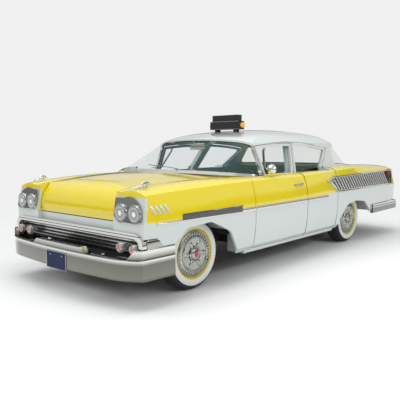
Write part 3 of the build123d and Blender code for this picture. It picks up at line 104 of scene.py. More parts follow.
# %% Stage
STUDIO_GREY = (0.875, 0.875, 0.875, 1.0)
ROOM_LIGHT = 0.68
ROOM_BANDS = (
    (0.0, (0.10, 0.10, 0.10)),
    (0.10, (0.16, 0.1632, 0.1648)),
    (0.16, (0.95, 0.969, 0.9785)),
    (0.34, (0.75, 0.765, 0.7725)),
    (0.75, (1.25, 1.28, 1.30)),
)
FLOOR_REACH = 60.0
SUN_STRENGTH = 1.0
SUN_SPREAD = math.radians(50)
SUN_TURN = (math.radians(18), math.radians(12), 0)
STRIP_BREADTH = 0.22

scene = bpy.context.scene
scene.view_settings.view_transform = "Standard"


def ramp(tree, value, stops):
    """Colours between the stops of a value from 0 to 1."""
    node = tree.nodes.new("ShaderNodeValToRGB")
    elements = node.color_ramp.elements
    while len(elements) < len(stops):
        elements.new(1.0)
    for element, (position, colour) in zip(elements, stops):
        element.position = position
        element.color = (*colour, 1.0)
    tree.links.new(value, node.inputs["Fac"])
    return node.outputs["Color"]


world = bpy.data.worlds.new("studio")
scene.world = world
world.use_nodes = True
tree = world.node_tree
tree.nodes.clear()
seen = tree.nodes.new("ShaderNodeBackground")
seen.inputs["Color"].default_value = STUDIO_GREY
seen.inputs["Strength"].default_value = 1.0
lit = tree.nodes.new("ShaderNodeBackground")
lit.inputs["Strength"].default_value = ROOM_LIGHT
direction = tree.nodes.new("ShaderNodeTexCoord")
height = tree.nodes.new("ShaderNodeSeparateXYZ")
tree.links.new(direction.outputs["Generated"], height.inputs[0])
tree.links.new(ramp(tree, height.outputs["Z"], ROOM_BANDS), lit.inputs["Color"])
path = tree.nodes.new("ShaderNodeLightPath")
direct = tree.nodes.new("ShaderNodeMath")
direct.operation = "MAXIMUM"
choose = tree.nodes.new("ShaderNodeMixShader")
room = tree.nodes.new("ShaderNodeOutputWorld")
tree.links.new(path.outputs["Is Camera Ray"], direct.inputs[0])
tree.links.new(path.outputs["Is Transmission Ray"], direct.inputs[1])
tree.links.new(direct.outputs[0], choose.inputs[0])
tree.links.new(lit.outputs[0], choose.inputs[1])
tree.links.new(seen.outputs[0], choose.inputs[2])
tree.links.new(choose.outputs[0], room.inputs["Surface"])

bm = bmesh.new()
bmesh.ops.create_grid(bm, x_segments=1, y_segments=1, size=FLOOR_REACH)
floor_mesh = bpy.data.meshes.new("floor")
bm.to_mesh(floor_mesh)
bm.free()
floor = bpy.data.objects.new("floor", floor_mesh)
scene.collection.objects.link(floor)

sun = bpy.data.lights.new("broad_sun", "SUN")
sun.energy = SUN_STRENGTH
sun.angle = SUN_SPREAD
sun_object = bpy.data.objects.new("broad_sun", sun)
sun_object.rotation_euler = SUN_TURN
scene.collection.objects.link(sun_object)


def lamp(name, place, aim, length, watts, breadth=None):
    """A soft box at a place, turned to a point. It is square unless it has a breadth of its own."""
    data = bpy.data.lights.new(name, "AREA")
    data.size = length
    data.energy = watts
    if breadth:
        data.shape = "RECTANGLE"
        data.size_y = breadth
    box = bpy.data.objects.new(name, data)
    box.location = place
    box.rotation_euler = (Vector(aim) - Vector(place)).to_track_quat("-Z", "Y").to_euler()
    scene.collection.objects.link(box)


lamp("strip_side", (1.2, 5.5, 3.4), (1.2, 0.5, 0.9), 5.5, 45, STRIP_BREADTH)
lamp("strip_over", (2.0, 0.9, 4.2), (1.8, 0.3, 0.9), 3.5, 35, STRIP_BREADTH)
lamp("soft_box_side", (1.0, 7.5, 4.5), (0.6, 0, 0.8), 3.0, 60)
lamp("soft_box_front", (8.5, 1.0, 4.5), (1.8, 0, 0.6), 2.5, 40)
print("lights", len(bpy.data.lights))

# %% [markdown]
# ## Finishes
# Each real finish becomes one Principled material. Colour, metal and roughness say nearly all of it:
# enamel is a smooth skin over colour, chrome is a mirror that is not quite white, rubber is rough and
# nearly black. Where one panel wears two colours, the border is read from Object coordinates, which
# for these panels are metres on the car: x forward, y to the left, z up.


# %% Plain finishes
def finish(name, colour, metallic=0.0, roughness=0.4, coat=0.0, alpha=1.0, glow=0.0):
    """A material with one colour all over."""
    material = bpy.data.materials.new(name)
    material.use_nodes = True
    shader = material.node_tree.nodes["Principled BSDF"]
    shader.inputs["Base Color"].default_value = (*colour, 1.0)
    shader.inputs["Metallic"].default_value = metallic
    shader.inputs["Roughness"].default_value = roughness
    shader.inputs["Coat Weight"].default_value = coat
    shader.inputs["Alpha"].default_value = alpha
    if glow:
        shader.inputs["Emission Color"].default_value = (*colour, 1.0)
        shader.inputs["Emission Strength"].default_value = glow
    return material


def enamel(name, colour):
    return finish(name, colour, roughness=0.16, coat=1.0)


def dress(name, material):
    """Gives a node of the frame one material."""
    slots = nodes[name].data.materials
    slots.clear()
    slots.append(material)


YELLOW = (0.79, 0.63, 0.006)
WHITE = (0.60, 0.645, 0.625)
PLATED = (0.70, 0.70, 0.66)
PITCH_BLACK = (0.008, 0.008, 0.009)
RUBBER = (0.016, 0.016, 0.017)

chrome = finish("chrome", (0.40, 0.40, 0.37), metallic=1.0, roughness=0.08, coat=0.6)
bright_chrome = finish("bright_chrome", PLATED, metallic=1.0, roughness=0.10)
slat_metal = finish("slat_metal", (0.72, 0.72, 0.68), metallic=0.55, roughness=0.35)
satin_chrome = finish("satin_chrome", (0.40, 0.41, 0.37), metallic=1.0, roughness=0.24)
white_enamel = enamel("white_enamel", WHITE)
yellow_enamel = enamel("yellow_enamel", YELLOW)
satin_black = finish("satin_black", (0.02, 0.02, 0.02), roughness=0.5)
frame_black = finish("frame_black", (0.018, 0.018, 0.018), roughness=0.6)
floor_mat = finish("cabin_floor", (0.03, 0.028, 0.026), roughness=0.9)
iron = finish("engine_paint", (0.12, 0.13, 0.14), roughness=0.55)
exhaust_steel = finish("exhaust_steel", (0.28, 0.25, 0.22), metallic=0.9, roughness=0.5)
clear_glass = finish("clear_glass", (0.20, 0.42, 0.45), roughness=0.02, alpha=0.07)
lens_red = finish("lens_red", (0.45, 0.008, 0.006), roughness=0.12, coat=1.0)
lens_amber = finish("lens_amber", (0.85, 0.42, 0.05), roughness=0.15, coat=1.0, glow=0.2)
hub_red = finish("hub_red", (0.5, 0.01, 0.012), roughness=0.25, coat=0.5)
dash_paint = finish("dash_paint", (0.36, 0.37, 0.31), roughness=0.45)
trim_black = finish("trim_black", (0.012, 0.011, 0.011), roughness=0.55)
strip_grey = finish("strip_grey", (0.11, 0.115, 0.12), metallic=0.3, roughness=0.4)
plate_blue = finish("plate_blue", (0.004, 0.012, 0.07), roughness=0.7)
print("plain finishes", len(bpy.data.materials))


# %% [markdown]
# ### Two colours on one panel
# The factory masks the body along the side moulding: yellow above, white below, and white around the
# headlamps. A mask in a shader is a comparison that gives 0 or 1, and the mask chooses between two
# colours. Door frames above the glass line are bright metal, so there the same kind of mask also
# switches the metal on. Faces that point into the cabin take the colour of its lining.


# %% Masked finishes
class Recipe:
    """A small helper to chain Math nodes on Object coordinates."""

    def __init__(self, material, centre=(0, 0, 0)):
        self.tree = material.node_tree
        self.shader = self.tree.nodes["Principled BSDF"]
        place = self.tree.nodes.new("ShaderNodeTexCoord")
        shift = self.tree.nodes.new("ShaderNodeMapping")
        shift.inputs["Location"].default_value = [-value for value in centre]
        self.tree.links.new(place.outputs["Object"], shift.inputs["Vector"])
        split = self.tree.nodes.new("ShaderNodeSeparateXYZ")
        self.tree.links.new(shift.outputs["Vector"], split.inputs[0])
        self.x, self.y, self.z = split.outputs
        facing = self.tree.nodes.new("ShaderNodeNewGeometry")
        turned = self.tree.nodes.new("ShaderNodeSeparateXYZ")
        self.tree.links.new(facing.outputs["Normal"], turned.inputs[0])
        self.faces_side, self.faces_up = turned.outputs["Y"], turned.outputs["Z"]

    def math(self, operation, *values):
        node = self.tree.nodes.new("ShaderNodeMath")
        node.operation = operation
        for socket, value in zip(node.inputs, values):
            if isinstance(value, (int, float)):
                socket.default_value = value
            else:
                self.tree.links.new(value, socket)
        return node.outputs[0]

    def both(self, a, b):
        return self.math("MULTIPLY", a, b)

    def either(self, a, b):
        return self.math("MAXIMUM", a, b)

    def above(self, value, limit):
        return self.math("GREATER_THAN", value, limit)

    def below(self, value, limit):
        return self.math("LESS_THAN", value, limit)

    def between(self, value, low, high):
        return self.both(self.above(value, low), self.below(value, high))

    def reach(self, a, b):
        """The distance from the point where both values are 0."""
        return self.math("SQRT", self.math("ADD", self.both(a, a), self.both(b, b)))

    def share(self, value, start, length):
        """0 at the start of a stretch and 1 at its end."""
        return self.math("MULTIPLY_ADD", value, 1 / length, -start / length)

    def repeats(self, value, half_pitch, width):
        """1 in a narrow band at every whole pitch of a value."""
        return self.below(self.math("PINGPONG", value, half_pitch), width)

    def colour(self, factor, off, on):
        """A colour chosen by a factor, from two colours or an earlier choice."""
        mix = self.tree.nodes.new("ShaderNodeMix")
        mix.data_type = "RGBA"
        self.tree.links.new(factor, mix.inputs["Factor"])
        for socket, value in ((mix.inputs[6], off), (mix.inputs[7], on)):
            if isinstance(value, tuple):
                socket.default_value = (*value, 1.0)
            else:
                self.tree.links.new(value, socket)
        return mix.outputs[2]

    def paint(self, socket, value):
        self.tree.links.new(value, self.shader.inputs[socket])

    def bump(self, height, distance, strength=1.0):
        node = self.tree.nodes.new("ShaderNodeBump")
        node.inputs["Distance"].default_value = distance
        node.inputs["Strength"].default_value = strength
        self.tree.links.new(height, node.inputs["Height"])
        self.tree.links.new(node.outputs[0], self.shader.inputs["Normal"])


STRIP_Z = 0.676
COVE_START_X = -0.36
COVE_LOW_Z = 0.712
FACE_SLOPE = math.tan(math.radians(10.5))
FACE_FOOT_X = 2.4805
FACE_FOOT_Z = 0.674
FACE_TOP_Z = 0.872
FACE_MARGIN = 0.02
GLASS_LINE_Z = 0.972
WINDOW_METAL = (0.72, 0.73, 0.70)
WINDOW_SHINE = 0.35
LINING = (0.085, 0.065, 0.03)
TURNED_IN = -0.12
FADE_START = 3.2
FADE_LENGTH = 5.0
GRILLE_BAR_X = 2.4285
GRILLE_BAR = (0.78, 0.79, 0.80)


def below_moulding(r):
    """1 below the border of the colours, which is higher along the cove."""
    ahead = r.below(r.z, STRIP_Z)
    along_cove = r.both(r.below(r.z, COVE_LOW_Z), r.below(r.x, COVE_START_X))
    return r.either(ahead, along_cove)


body_enamel = enamel("body_enamel", YELLOW)
r = Recipe(body_enamel)
face_depth = r.math("ADD", r.x, r.both(r.z, FACE_SLOPE))
face = r.above(face_depth, FACE_FOOT_X + FACE_FOOT_Z * FACE_SLOPE - FACE_MARGIN)
face = r.both(face, r.below(r.z, FACE_TOP_Z))
r.paint("Base Color", r.colour(r.either(face, below_moulding(r)), YELLOW, WHITE))

door_enamel = enamel("door_enamel", YELLOW)
r = Recipe(door_enamel)
upper = r.above(r.z, GLASS_LINE_Z)
inside = r.below(r.both(r.faces_side, r.y), TURNED_IN)
dressed = r.colour(upper, r.colour(below_moulding(r), YELLOW, WHITE), WINDOW_METAL)
r.paint("Base Color", r.colour(inside, dressed, LINING))
r.paint("Metallic", r.both(r.both(upper, WINDOW_SHINE), r.math("SUBTRACT", 1.0, inside)))

roof_enamel = enamel("roof_enamel", WHITE)
r = Recipe(roof_enamel)
r.paint("Base Color", r.colour(r.below(r.faces_up, TURNED_IN), WHITE, LINING))

studio_floor = finish("studio_floor", (0.80, 0.80, 0.80), roughness=0.9)
r = Recipe(studio_floor)
fade = r.share(r.reach(r.x, r.y), FADE_START, FADE_LENGTH)
fade = r.math("MINIMUM", r.math("MAXIMUM", fade, 0.0), 1.0)
plain = r.tree.nodes.new("ShaderNodeEmission")
plain.inputs["Color"].default_value = STUDIO_GREY
blend = r.tree.nodes.new("ShaderNodeMixShader")
end = r.tree.nodes["Material Output"]
r.tree.links.new(fade, blend.inputs[0])
r.tree.links.new(r.shader.outputs[0], blend.inputs[1])
r.tree.links.new(plain.outputs[0], blend.inputs[2])
r.tree.links.new(blend.outputs[0], end.inputs["Surface"])
floor.data.materials.append(studio_floor)

grille_paint = finish("grille_paint", PITCH_BLACK, roughness=0.28)
r = Recipe(grille_paint)
bar = r.above(r.x, GRILLE_BAR_X)
r.paint("Base Color", r.colour(bar, PITCH_BLACK, GRILLE_BAR))
r.paint("Metallic", bar)
print("masked finishes meet at z", STRIP_Z)

# %% [markdown]
# ### Bumper plate and lamp faces
# The bumpers' pressed tiers catch a bright line along the top and a dark one under it. These are
# painted highlight and painted reflection: a ramp over the height lays them into the plating's
# colour, darker towards the foot. A sealed lamp carries painted reflection: bright in the middle,
# darker round it and a painted highlight at its rim. A near-black band on the grille surround is
# painted shade in its groove. Two lamps share a side, so the distance to the nearer centre comes
# from folding the width about the middle between them.

# %% Bumper and lamp finishes
BEIGE = (0.20, 0.20, 0.165)
# Painted highlight and painted reflection of the tiers: a bright top line and a dark line under it.
PAINTED_TIER_REFLECTION_STOPS = (
    (0.0, (0.11, 0.11, 0.09)),
    (0.10, BEIGE),
    (0.52, (0.15, 0.15, 0.125)),
    (0.60, (0.42, 0.42, 0.38)),
    (0.66, (0.80, 0.80, 0.77)),
    (0.705, (0.05, 0.05, 0.045)),
    (0.76, (0.26, 0.26, 0.23)),
    (0.93, (0.72, 0.72, 0.69)),
)
# Painted reflection in a headlamp lens, with a painted highlight at its rim.
HEADLAMP_PAINTED_REFLECTION_STOPS = (
    (0.0, (1.0, 1.0, 1.0)),
    (0.20, (0.85, 0.87, 0.88)),
    (0.42, (0.22, 0.23, 0.24)),
    (0.70, (0.50, 0.52, 0.53)),
    (0.92, (0.16, 0.17, 0.17)),
    (1.0, (0.6, 0.6, 0.6)),
)
PARKING_STOPS = (
    (0.0, (0.85, 0.10, 0.015)),
    (0.40, (0.80, 0.09, 0.015)),
    (0.46, (0.45, 0.45, 0.43)),
    (1.0, (0.55, 0.55, 0.52)),
)
HEADLAMP_YS = (0.676, 0.845)
HEADLAMP_Z = 0.746
HEADLAMP_R = 0.072
PARKING_YS = (0.689, 0.848)
PARKING_Z = 0.472
PARKING_R = 0.038
GROOVE_LOW_Z = 0.5745
GROOVE_HIGH_Z = 0.580


def plating_with_painted_reflection(name, low_z, high_z):
    """Plating with a painted highlight and painted reflection that follow the height between a
    bumper's foot and its top.
    """
    plating = finish(name, BEIGE, metallic=1.0, roughness=0.12, coat=0.8)
    r = Recipe(plating)
    r.paint("Base Color", ramp(r.tree, r.share(r.z, low_z, high_z - low_z), PAINTED_TIER_REFLECTION_STOPS))
    return plating


def lamp_face(name, centre_ys, centre_z, radius, stops, metallic):
    """A finish that depends on the distance from the nearer of two lamp centres."""
    near_y, far_y = centre_ys
    face = finish(name, (0.5, 0.5, 0.5), metallic=metallic, roughness=0.15, coat=1.0)
    r = Recipe(face)
    fold = r.math("SUBTRACT", r.math("ABSOLUTE", r.y), (near_y + far_y) / 2)
    across = r.math("SUBTRACT", r.math("ABSOLUTE", fold), (far_y - near_y) / 2)
    away = r.reach(across, r.math("SUBTRACT", r.z, centre_z))
    r.paint("Base Color", ramp(r.tree, r.math("DIVIDE", away, radius), stops))
    return face


# Both bumpers carry the painted highlight and painted reflection of their tiers.
front_plating = plating_with_painted_reflection("front_plating", 0.232, 0.476)
rear_plating = plating_with_painted_reflection("rear_plating", 0.345, 0.463)
# The headlamp ramp is painted reflection; the parking lamps' orange centre and bezel are their own
# colours.
headlamp_painted_reflection = lamp_face("headlamp_painted_reflection", HEADLAMP_YS, HEADLAMP_Z, HEADLAMP_R, HEADLAMP_PAINTED_REFLECTION_STOPS, 0.75)
lens_orange = lamp_face("lens_orange", PARKING_YS, PARKING_Z, PARKING_R, PARKING_STOPS, 0.4)

surround_plating = finish("surround_plating", PLATED, metallic=1.0, roughness=0.10)
r = Recipe(surround_plating)
# Painted shade: the groove is a near-black band in the plating.
painted_groove_shade = r.between(r.z, GROOVE_LOW_Z, GROOVE_HIGH_Z)
r.paint("Base Color", r.colour(painted_groove_shade, PLATED, (0.03, 0.03, 0.03)))

# %% [markdown]
# ### Tyres
# A whitewall is a ring of white rubber in the sidewall, and the rim inside it is painted. Rings need
# only the distance from the axle, so each tyre gets its own copy of the recipe, centred on its own
# axle. The tread has grooves around it and short cuts across it, which are too small to model and are
# a bump instead.

# %% Tyres
AXLES = {"front": 1.7955, "rear": -1.1885}
TYRE_Y = 0.747
TYRE_R = 0.325
HUB_Z = TYRE_R
WHITEWALL_FROM = 0.70 * TYRE_R
WHITEWALL_TO = 0.865 * TYRE_R
WHITE_RUBBER = (0.72, 0.72, 0.70)
RIM_YELLOW = (0.55, 0.46, 0.02)
TREAD_FROM = 0.306
TREAD_DEPTH = 0.006

for corner, axle_x in AXLES.items():
    for side, sign in SIDES:
        rubber = finish(f"tyre_{corner}_{side}", RUBBER, roughness=0.72)
        r = Recipe(rubber, centre=(axle_x, sign * TYRE_Y, HUB_Z))
        away = r.reach(r.x, r.z)
        outer_side = r.above(r.both(r.y, float(sign)), 0.02)
        white = r.both(r.between(away, WHITEWALL_FROM, WHITEWALL_TO), outer_side)
        rim = r.both(r.below(away, WHITEWALL_FROM), outer_side)
        r.paint("Base Color", r.colour(rim, r.colour(white, RUBBER, WHITE_RUBBER), RIM_YELLOW))
        grooves = r.repeats(r.y, 0.016, 0.003)
        cuts = r.repeats(r.math("ARCTAN2", r.z, r.x), 0.03, 0.006)
        hollow = r.both(r.above(away, TREAD_FROM), r.either(grooves, cuts))
        r.bump(r.math("SUBTRACT", 1.0, hollow), TREAD_DEPTH)
        dress(f"tyre_{corner}_{side}", rubber)
print("whitewall", round(WHITEWALL_TO - WHITEWALL_FROM, 4), "m wide")

# %% [markdown]
# ### Each node gets its finish
# The frame's objects keep their meshes. Only the material in their slots changes.

# %% Assign the finishes
panes = [name for name in nodes if name.startswith("door_glass")]
wheels = [name for name in nodes if name.startswith("wheel_")]
FINISH_OF = {
    body_enamel: ["front_fenders", "quarter_panels"],
    door_enamel: ["door_front_left", "door_front_right", "door_rear_left", "door_rear_right"],
    yellow_enamel: ["hood", "cowl", "trunk_lid", "rear_shelf"],
    white_enamel: ["nose_panel", "tail_panel", "side_frames"],
    roof_enamel: ["roof"],
    front_plating: ["front_bumper"],
    rear_plating: ["rear_bumper"],
    bright_chrome: ["windshield_frame", "door_mirror"],
    surround_plating: ["grille_surround"],
    satin_chrome: ["headlamp_bezels", *wheels],
    headlamp_painted_reflection: ["headlamps"],
    lens_orange: ["parking_lamps"],
    lens_red: ["tail_lamps"],
    lens_amber: ["sign_lamps"],
    grille_paint: ["grille"],
    trim_black: ["louvres", "louvre_door_left", "louvre_door_right", "roof_sign", "steering_wheel"],
    clear_glass: ["windshield", "rear_window", *panes],
    frame_black: ["chassis_frame", "front_suspension", "rear_axle", "fuel_tank", "driveline"],
    satin_black: ["knuckle_left", "knuckle_right"],
    floor_mat: ["floor_pan", "front_seat", "rear_seat"],
    iron: ["engine"],
    exhaust_steel: ["exhaust"],
    dash_paint: ["dashboard"],
}
for material, names in FINISH_OF.items():
    for name in names:
        dress(name, material)
print("finished nodes", sum(len(names) for names in FINISH_OF.values()))

# %% [markdown]
# ## Trim that lies on the body
# Mouldings, hash marks and slats are thin metal pressed onto curved panels. Each begins as a flat
# grid over four corners in the side view. Every point is then moved sideways until it meets the
# panel, and the sheet gets its thickness by one extrusion. A crown makes it thicker along its middle.

# %% Helpers for trim
OUTSIDE_Y = 1.4
OUTSIDE_Z = 1.6
SKIN_LEAST_Y = 0.55
SKIN_USUAL_Y = 0.95


def skin_of(*names):
    """The panels that a piece of trim is pressed onto."""
    shell = bmesh.new()
    for name in names:
        shell.from_mesh(nodes[name].data)
    found = BVHTree.FromBMesh(shell)
    shell.free()
    return found


def from_side(skin, side, x, z):
    """The point where a skin is met from the left (1) or the right (-1), if it is met."""
    return skin.ray_cast(Vector((x, side * OUTSIDE_Y, z)), Vector((0, -side, 0)))[0]


def from_above(skin, x, y):
    return skin.ray_cast(Vector((x, y, OUTSIDE_Z)), Vector((0, 0, -1)))[0]


def lay(bm, panel, side, corners, cells, lift, thick, crown=0.0):
    """A patch over four (x, z) corners, pressed onto the left (1) or right (-1) side of a panel."""
    sheet = bmesh.ops.create_grid(bm, x_segments=cells[0], y_segments=cells[1], size=1.0)["verts"]
    low_a, low_b, high_b, high_a = [Vector(corner) for corner in corners]
    across = {}
    depth = None
    for vert in sorted(sheet, key=lambda one: (one.co.x, one.co.y)):
        u, v = (vert.co.x + 1) / 2, (vert.co.y + 1) / 2
        flat = low_a.lerp(low_b, u).lerp(high_a.lerp(high_b, u), v)
        hit = from_side(panel, side, flat.x, flat.y)
        depth = hit.y if hit and abs(hit.y) > SKIN_LEAST_Y else depth
        vert.co = (flat.x, (depth or side * SKIN_USUAL_Y) + side * lift, flat.y)
        across[(round(flat.x, 5), round(flat.y, 5))] = v
    own = set(sheet)
    faces = [face for face in bm.faces if own.issuperset(face.verts)]
    raised = bmesh.ops.extrude_face_region(bm, geom=faces)["geom"]
    for item in raised:
        if isinstance(item, bmesh.types.BMVert):
            v = across.get((round(item.co.x, 5), round(item.co.z, 5)), 0.5)
            item.co.y += side * (thick + crown * (1 - (2 * v - 1) ** 2))


def keep(name, bm, material, body):
    """The finished mesh becomes a piece that rides on a body."""
    bmesh.ops.recalc_face_normals(bm, faces=bm.faces)
    mesh = bpy.data.meshes.new(name)
    bm.to_mesh(mesh)
    bm.free()
    mesh.materials.append(material)
    mesh.shade_smooth()
    mesh.set_sharp_from_angle(angle=math.radians(35))
    piece = bpy.data.objects.new(name, mesh)
    scene.collection.objects.link(piece)
    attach(piece, body)
    return piece


def block(bm, low, high, bevel=0.0):
    """A box between two corners, with rounded edges where it has a bevel."""
    low, high = Vector(low), Vector(high)
    place = Matrix.Translation((low + high) / 2) @ Matrix.Diagonal((*(high - low), 1.0))
    made = bmesh.ops.create_cube(bm, size=1.0, matrix=place)["verts"]
    if bevel:
        edges = list({edge for vert in made for edge in vert.link_edges})
        bmesh.ops.bevel(
            bm, geom=edges, offset=bevel, segments=2, profile=0.5, affect="EDGES", material=-1
        )


def ball(bm, centre, half_sizes, around, along, turn=None):
    """A ball stretched to three half sizes, turned about the origin after it has its place."""
    place = Matrix.Translation(centre) @ Matrix.Diagonal((*half_sizes, 1))
    place = (turn or Matrix.Identity(4)) @ place
    bmesh.ops.create_uvsphere(bm, u_segments=around, v_segments=along, radius=1.0, matrix=place)


def ring(bm, centre, axis, radius, thickness, steps=40, sides=8):
    """A round wire bent into a ring about an axis through its centre."""
    turn = Vector(axis).to_track_quat("Z", "Y").to_matrix().to_4x4()
    place = Matrix.Translation(centre) @ turn
    upright = Matrix.Rotation(math.radians(90), 4, "X")
    start = place @ Matrix.Translation((radius, 0, 0)) @ upright
    loop = bmesh.ops.create_circle(bm, radius=thickness, segments=sides, matrix=start)["verts"]
    edges = list({edge for vert in loop for edge in vert.link_edges})
    bmesh.ops.spin(
        bm,
        geom=loop + edges,
        cent=centre,
        axis=place.to_3x3() @ Vector((0, 0, 1)),
        angle=math.tau,
        steps=steps,
        use_merge=True,
    )


def wire(bm, points, radius, sides=8):
    """A round rod along a few points."""
    last = len(points) - 1
    rings = []
    for number, point in enumerate(points):
        ahead = Vector(points[min(number + 1, last)]) - Vector(points[max(number - 1, 0)])
        turn = ahead.to_track_quat("Z", "Y").to_matrix().to_4x4()
        place = Matrix.Translation(point) @ turn
        loop = bmesh.ops.create_circle(
            bm, cap_ends=number in (0, last), radius=radius, segments=sides, matrix=place
        )["verts"]
        rings.append(list({edge for vert in loop for edge in vert.link_edges}))
    for near, far in zip(rings, rings[1:]):
        bmesh.ops.bridge_loops(bm, edges=near + far)


# %% [markdown]
# ### Side moulding
# One bright strip runs from the front fender to the cove and hides the border of the two colours. On
# the car it is cut at every door gap, so it is three strips a side, and two ride on the doors. The
# fender strip holds a dark insert above the wheel arch.

# %% Side moulding
STRIP_LOW = 0.655
STRIP_HIGH = 0.694
STRIP_TIP_HIGH = 0.675
INSERT = ((2.085, 0.672), (1.31, 0.664), (1.31, 0.716), (2.085, 0.716))
INSERT_EDGE = ((2.095, 0.716), (1.30, 0.716), (1.30, 0.724), (2.095, 0.724))

fender_skin = skin_of("front_fenders")
for side, sign in SIDES:
    stretches = {
        "car": (fender_skin, 2.36, 1.092, 30),
        f"door_front_{side}_body": (skin_of(f"door_front_{side}"), 1.075, 0.119, 20),
        f"door_rear_{side}_body": (skin_of(f"door_rear_{side}"), 0.102, -0.36, 10),
    }
    for body, (panel, front_x, rear_x, cells) in stretches.items():
        start_high = STRIP_TIP_HIGH if body == "car" else STRIP_HIGH
        corners = (
            (front_x, STRIP_LOW),
            (rear_x, STRIP_LOW),
            (rear_x, STRIP_HIGH),
            (front_x, start_high),
        )
        bm = bmesh.new()
        lay(bm, panel, sign, corners, (cells, 4), lift=-0.002, thick=0.006, crown=0.005)
        title = f"side_strip_{body.replace('_body', '')}_{side}"
        keep(title, bm, bright_chrome, body)
    bm = bmesh.new()
    lay(bm, fender_skin, sign, INSERT, (20, 2), lift=-0.002, thick=0.013)
    keep(f"strip_insert_{side}", bm, strip_grey, "car")
    bm = bmesh.new()
    lay(bm, fender_skin, sign, INSERT_EDGE, (20, 1), lift=-0.002, thick=0.016)
    keep(f"strip_insert_edge_{side}", bm, bright_chrome, "car")
print("side moulding between z", STRIP_LOW, "and", STRIP_HIGH)

# %% [markdown]
# ### Hash marks and fender ornaments
# Four short slanted bars decorate each front fender, and a small winged dart stands on its top. The
# bars are patches like the strips. The dart is a stretched ball with a fin, a pair of stub wings and
# two feet.

# %% Hash marks and ornaments
BAR_FEET_X = (2.378, 2.331, 2.285, 2.239)
BAR_WIDTH = 0.022
BAR_LEAN = 0.04
BAR_LOW_Z = 0.742
BAR_HIGH_Z = 0.812
ORNAMENT_X = 2.345
ORNAMENT_Y = 0.772
ORNAMENT_LIFT = Vector((0, 0, 0.020))
FOOT_REACH = 0.05

for side, sign in SIDES:
    bm = bmesh.new()
    for foot_x in BAR_FEET_X:
        corners = (
            (foot_x, BAR_LOW_Z),
            (foot_x - BAR_WIDTH, BAR_LOW_Z),
            (foot_x + BAR_LEAN - BAR_WIDTH, BAR_HIGH_Z),
            (foot_x + BAR_LEAN, BAR_HIGH_Z),
        )
        lay(bm, fender_skin, sign, corners, (2, 4), lift=-0.003, thick=0.008, crown=0.002)
    keep(f"hash_marks_{side}", bm, slat_metal, "car")
    nose = from_above(fender_skin, ORNAMENT_X + 0.07, sign * ORNAMENT_Y)
    tail = from_above(fender_skin, ORNAMENT_X - 0.08, sign * ORNAMENT_Y)
    tilt = Matrix.Rotation(math.atan2(tail.z - nose.z, 0.15), 4, "Y")
    place = Matrix.Translation((nose + tail) / 2 + ORNAMENT_LIFT) @ tilt
    bm = bmesh.new()
    ball(bm, (0, 0, 0), (0.100, 0.009, 0.009), 20, 12, place)
    ball(bm, (-0.04, 0, 0.010), (0.042, 0.003, 0.020), 16, 10, place)
    ball(bm, (-0.02, 0, 0.002), (0.032, 0.026, 0.0025), 16, 10, place)
    for shift in (-FOOT_REACH, FOOT_REACH):
        foot = place @ Vector((shift, 0, -0.012))
        wire(bm, (foot + Vector((0, 0, -0.022)), foot + Vector((0, 0, 0.012))), 0.007)
    keep(f"fender_ornament_{side}", bm, bright_chrome, "car")
print("ornament height", round(place.translation.z, 3))

# %% [markdown]
# ### Louvred cove
# Behind the doors a long cove is framed in bright metal and filled with slanted slats over a dark
# back. The door gap runs through it. So the whole row is made once for the quarter panel and once
# for the rear door, and each is cut at the gap, so that the first few slats swing with the door. The
# cut leaves open ends, which are filled.

# %% Slats and frame of the cove
COVE = ((-0.503, 0.893), (-0.398, 0.854), (-0.5685, 0.728), (-2.2485, 0.716), (-2.2985, 0.912))
TOP_FRONT, TIP, LOW_FRONT, LOW_REAR, TOP_REAR = COVE
DOOR_GAP_X = -0.6035
GAP_HALF = 0.0035
SLATS = 27
SLAT_START_X = -0.40
SLAT_PITCH = 1.90 / SLATS
SLAT_WIDTH = 0.034
SLAT_LEAN = 0.125
SLAT_ROOM = 0.006
SLAT_SHORTEST = 0.02
TIP_ROOM = 0.01
FOOT_MOST_X = -0.42
FRAME_WIDTH = 0.016
FRAME_CELL = 0.06
REFLECTOR = ((-2.19, 0.842), (-2.262, 0.842), (-2.276, 0.896), (-2.19, 0.896))
FIN_TIP = ((-2.30, 0.716), (-2.36, 0.72), (-2.44, 0.925), (-2.31, 0.925))


def edge_z(x, a, b):
    """Height of the straight edge from a to b at x."""
    return a[1] + (b[1] - a[1]) * (x - a[0]) / (b[0] - a[0])


def cove_low(x):
    return edge_z(x, TIP, LOW_FRONT) if x > LOW_FRONT[0] else edge_z(x, LOW_FRONT, LOW_REAR)


def cove_high(x):
    return edge_z(x, TOP_FRONT, TIP) if x > TOP_FRONT[0] else edge_z(x, TOP_FRONT, TOP_REAR)


def cut_at_gap(bm, front_part):
    """Keeps what lies ahead of the door gap, or behind it, and closes the cut."""
    x = DOOR_GAP_X + (GAP_HALF if front_part else -GAP_HALF)
    bmesh.ops.bisect_plane(
        bm,
        geom=bm.verts[:] + bm.edges[:] + bm.faces[:],
        plane_co=(x, 0, 0),
        plane_no=(-1 if front_part else 1, 0, 0),
        clear_outer=True,
    )
    bmesh.ops.holes_fill(bm, edges=[edge for edge in bm.edges if edge.is_boundary])


def slats(bm, panel, sign):
    """The row of slats, without those that would stand past the cove's ends."""
    for number in range(SLATS + 1):
        foot_x = SLAT_START_X - number * SLAT_PITCH
        top_x = foot_x + SLAT_LEAN
        if top_x - SLAT_WIDTH > TIP[0] or foot_x - SLAT_WIDTH < LOW_REAR[0]:
            continue
        top_x = min(top_x, TIP[0] - TIP_ROOM)
        low_z = cove_low(min(foot_x, FOOT_MOST_X)) + SLAT_ROOM
        high_z = cove_high(top_x) - SLAT_ROOM
        if high_z - low_z < SLAT_SHORTEST:
            continue
        corners = (
            (foot_x, low_z),
            (foot_x - SLAT_WIDTH, low_z),
            (top_x - SLAT_WIDTH, high_z),
            (top_x, high_z),
        )
        lay(bm, panel, sign, corners, (2, 4), lift=0.001, thick=0.006)


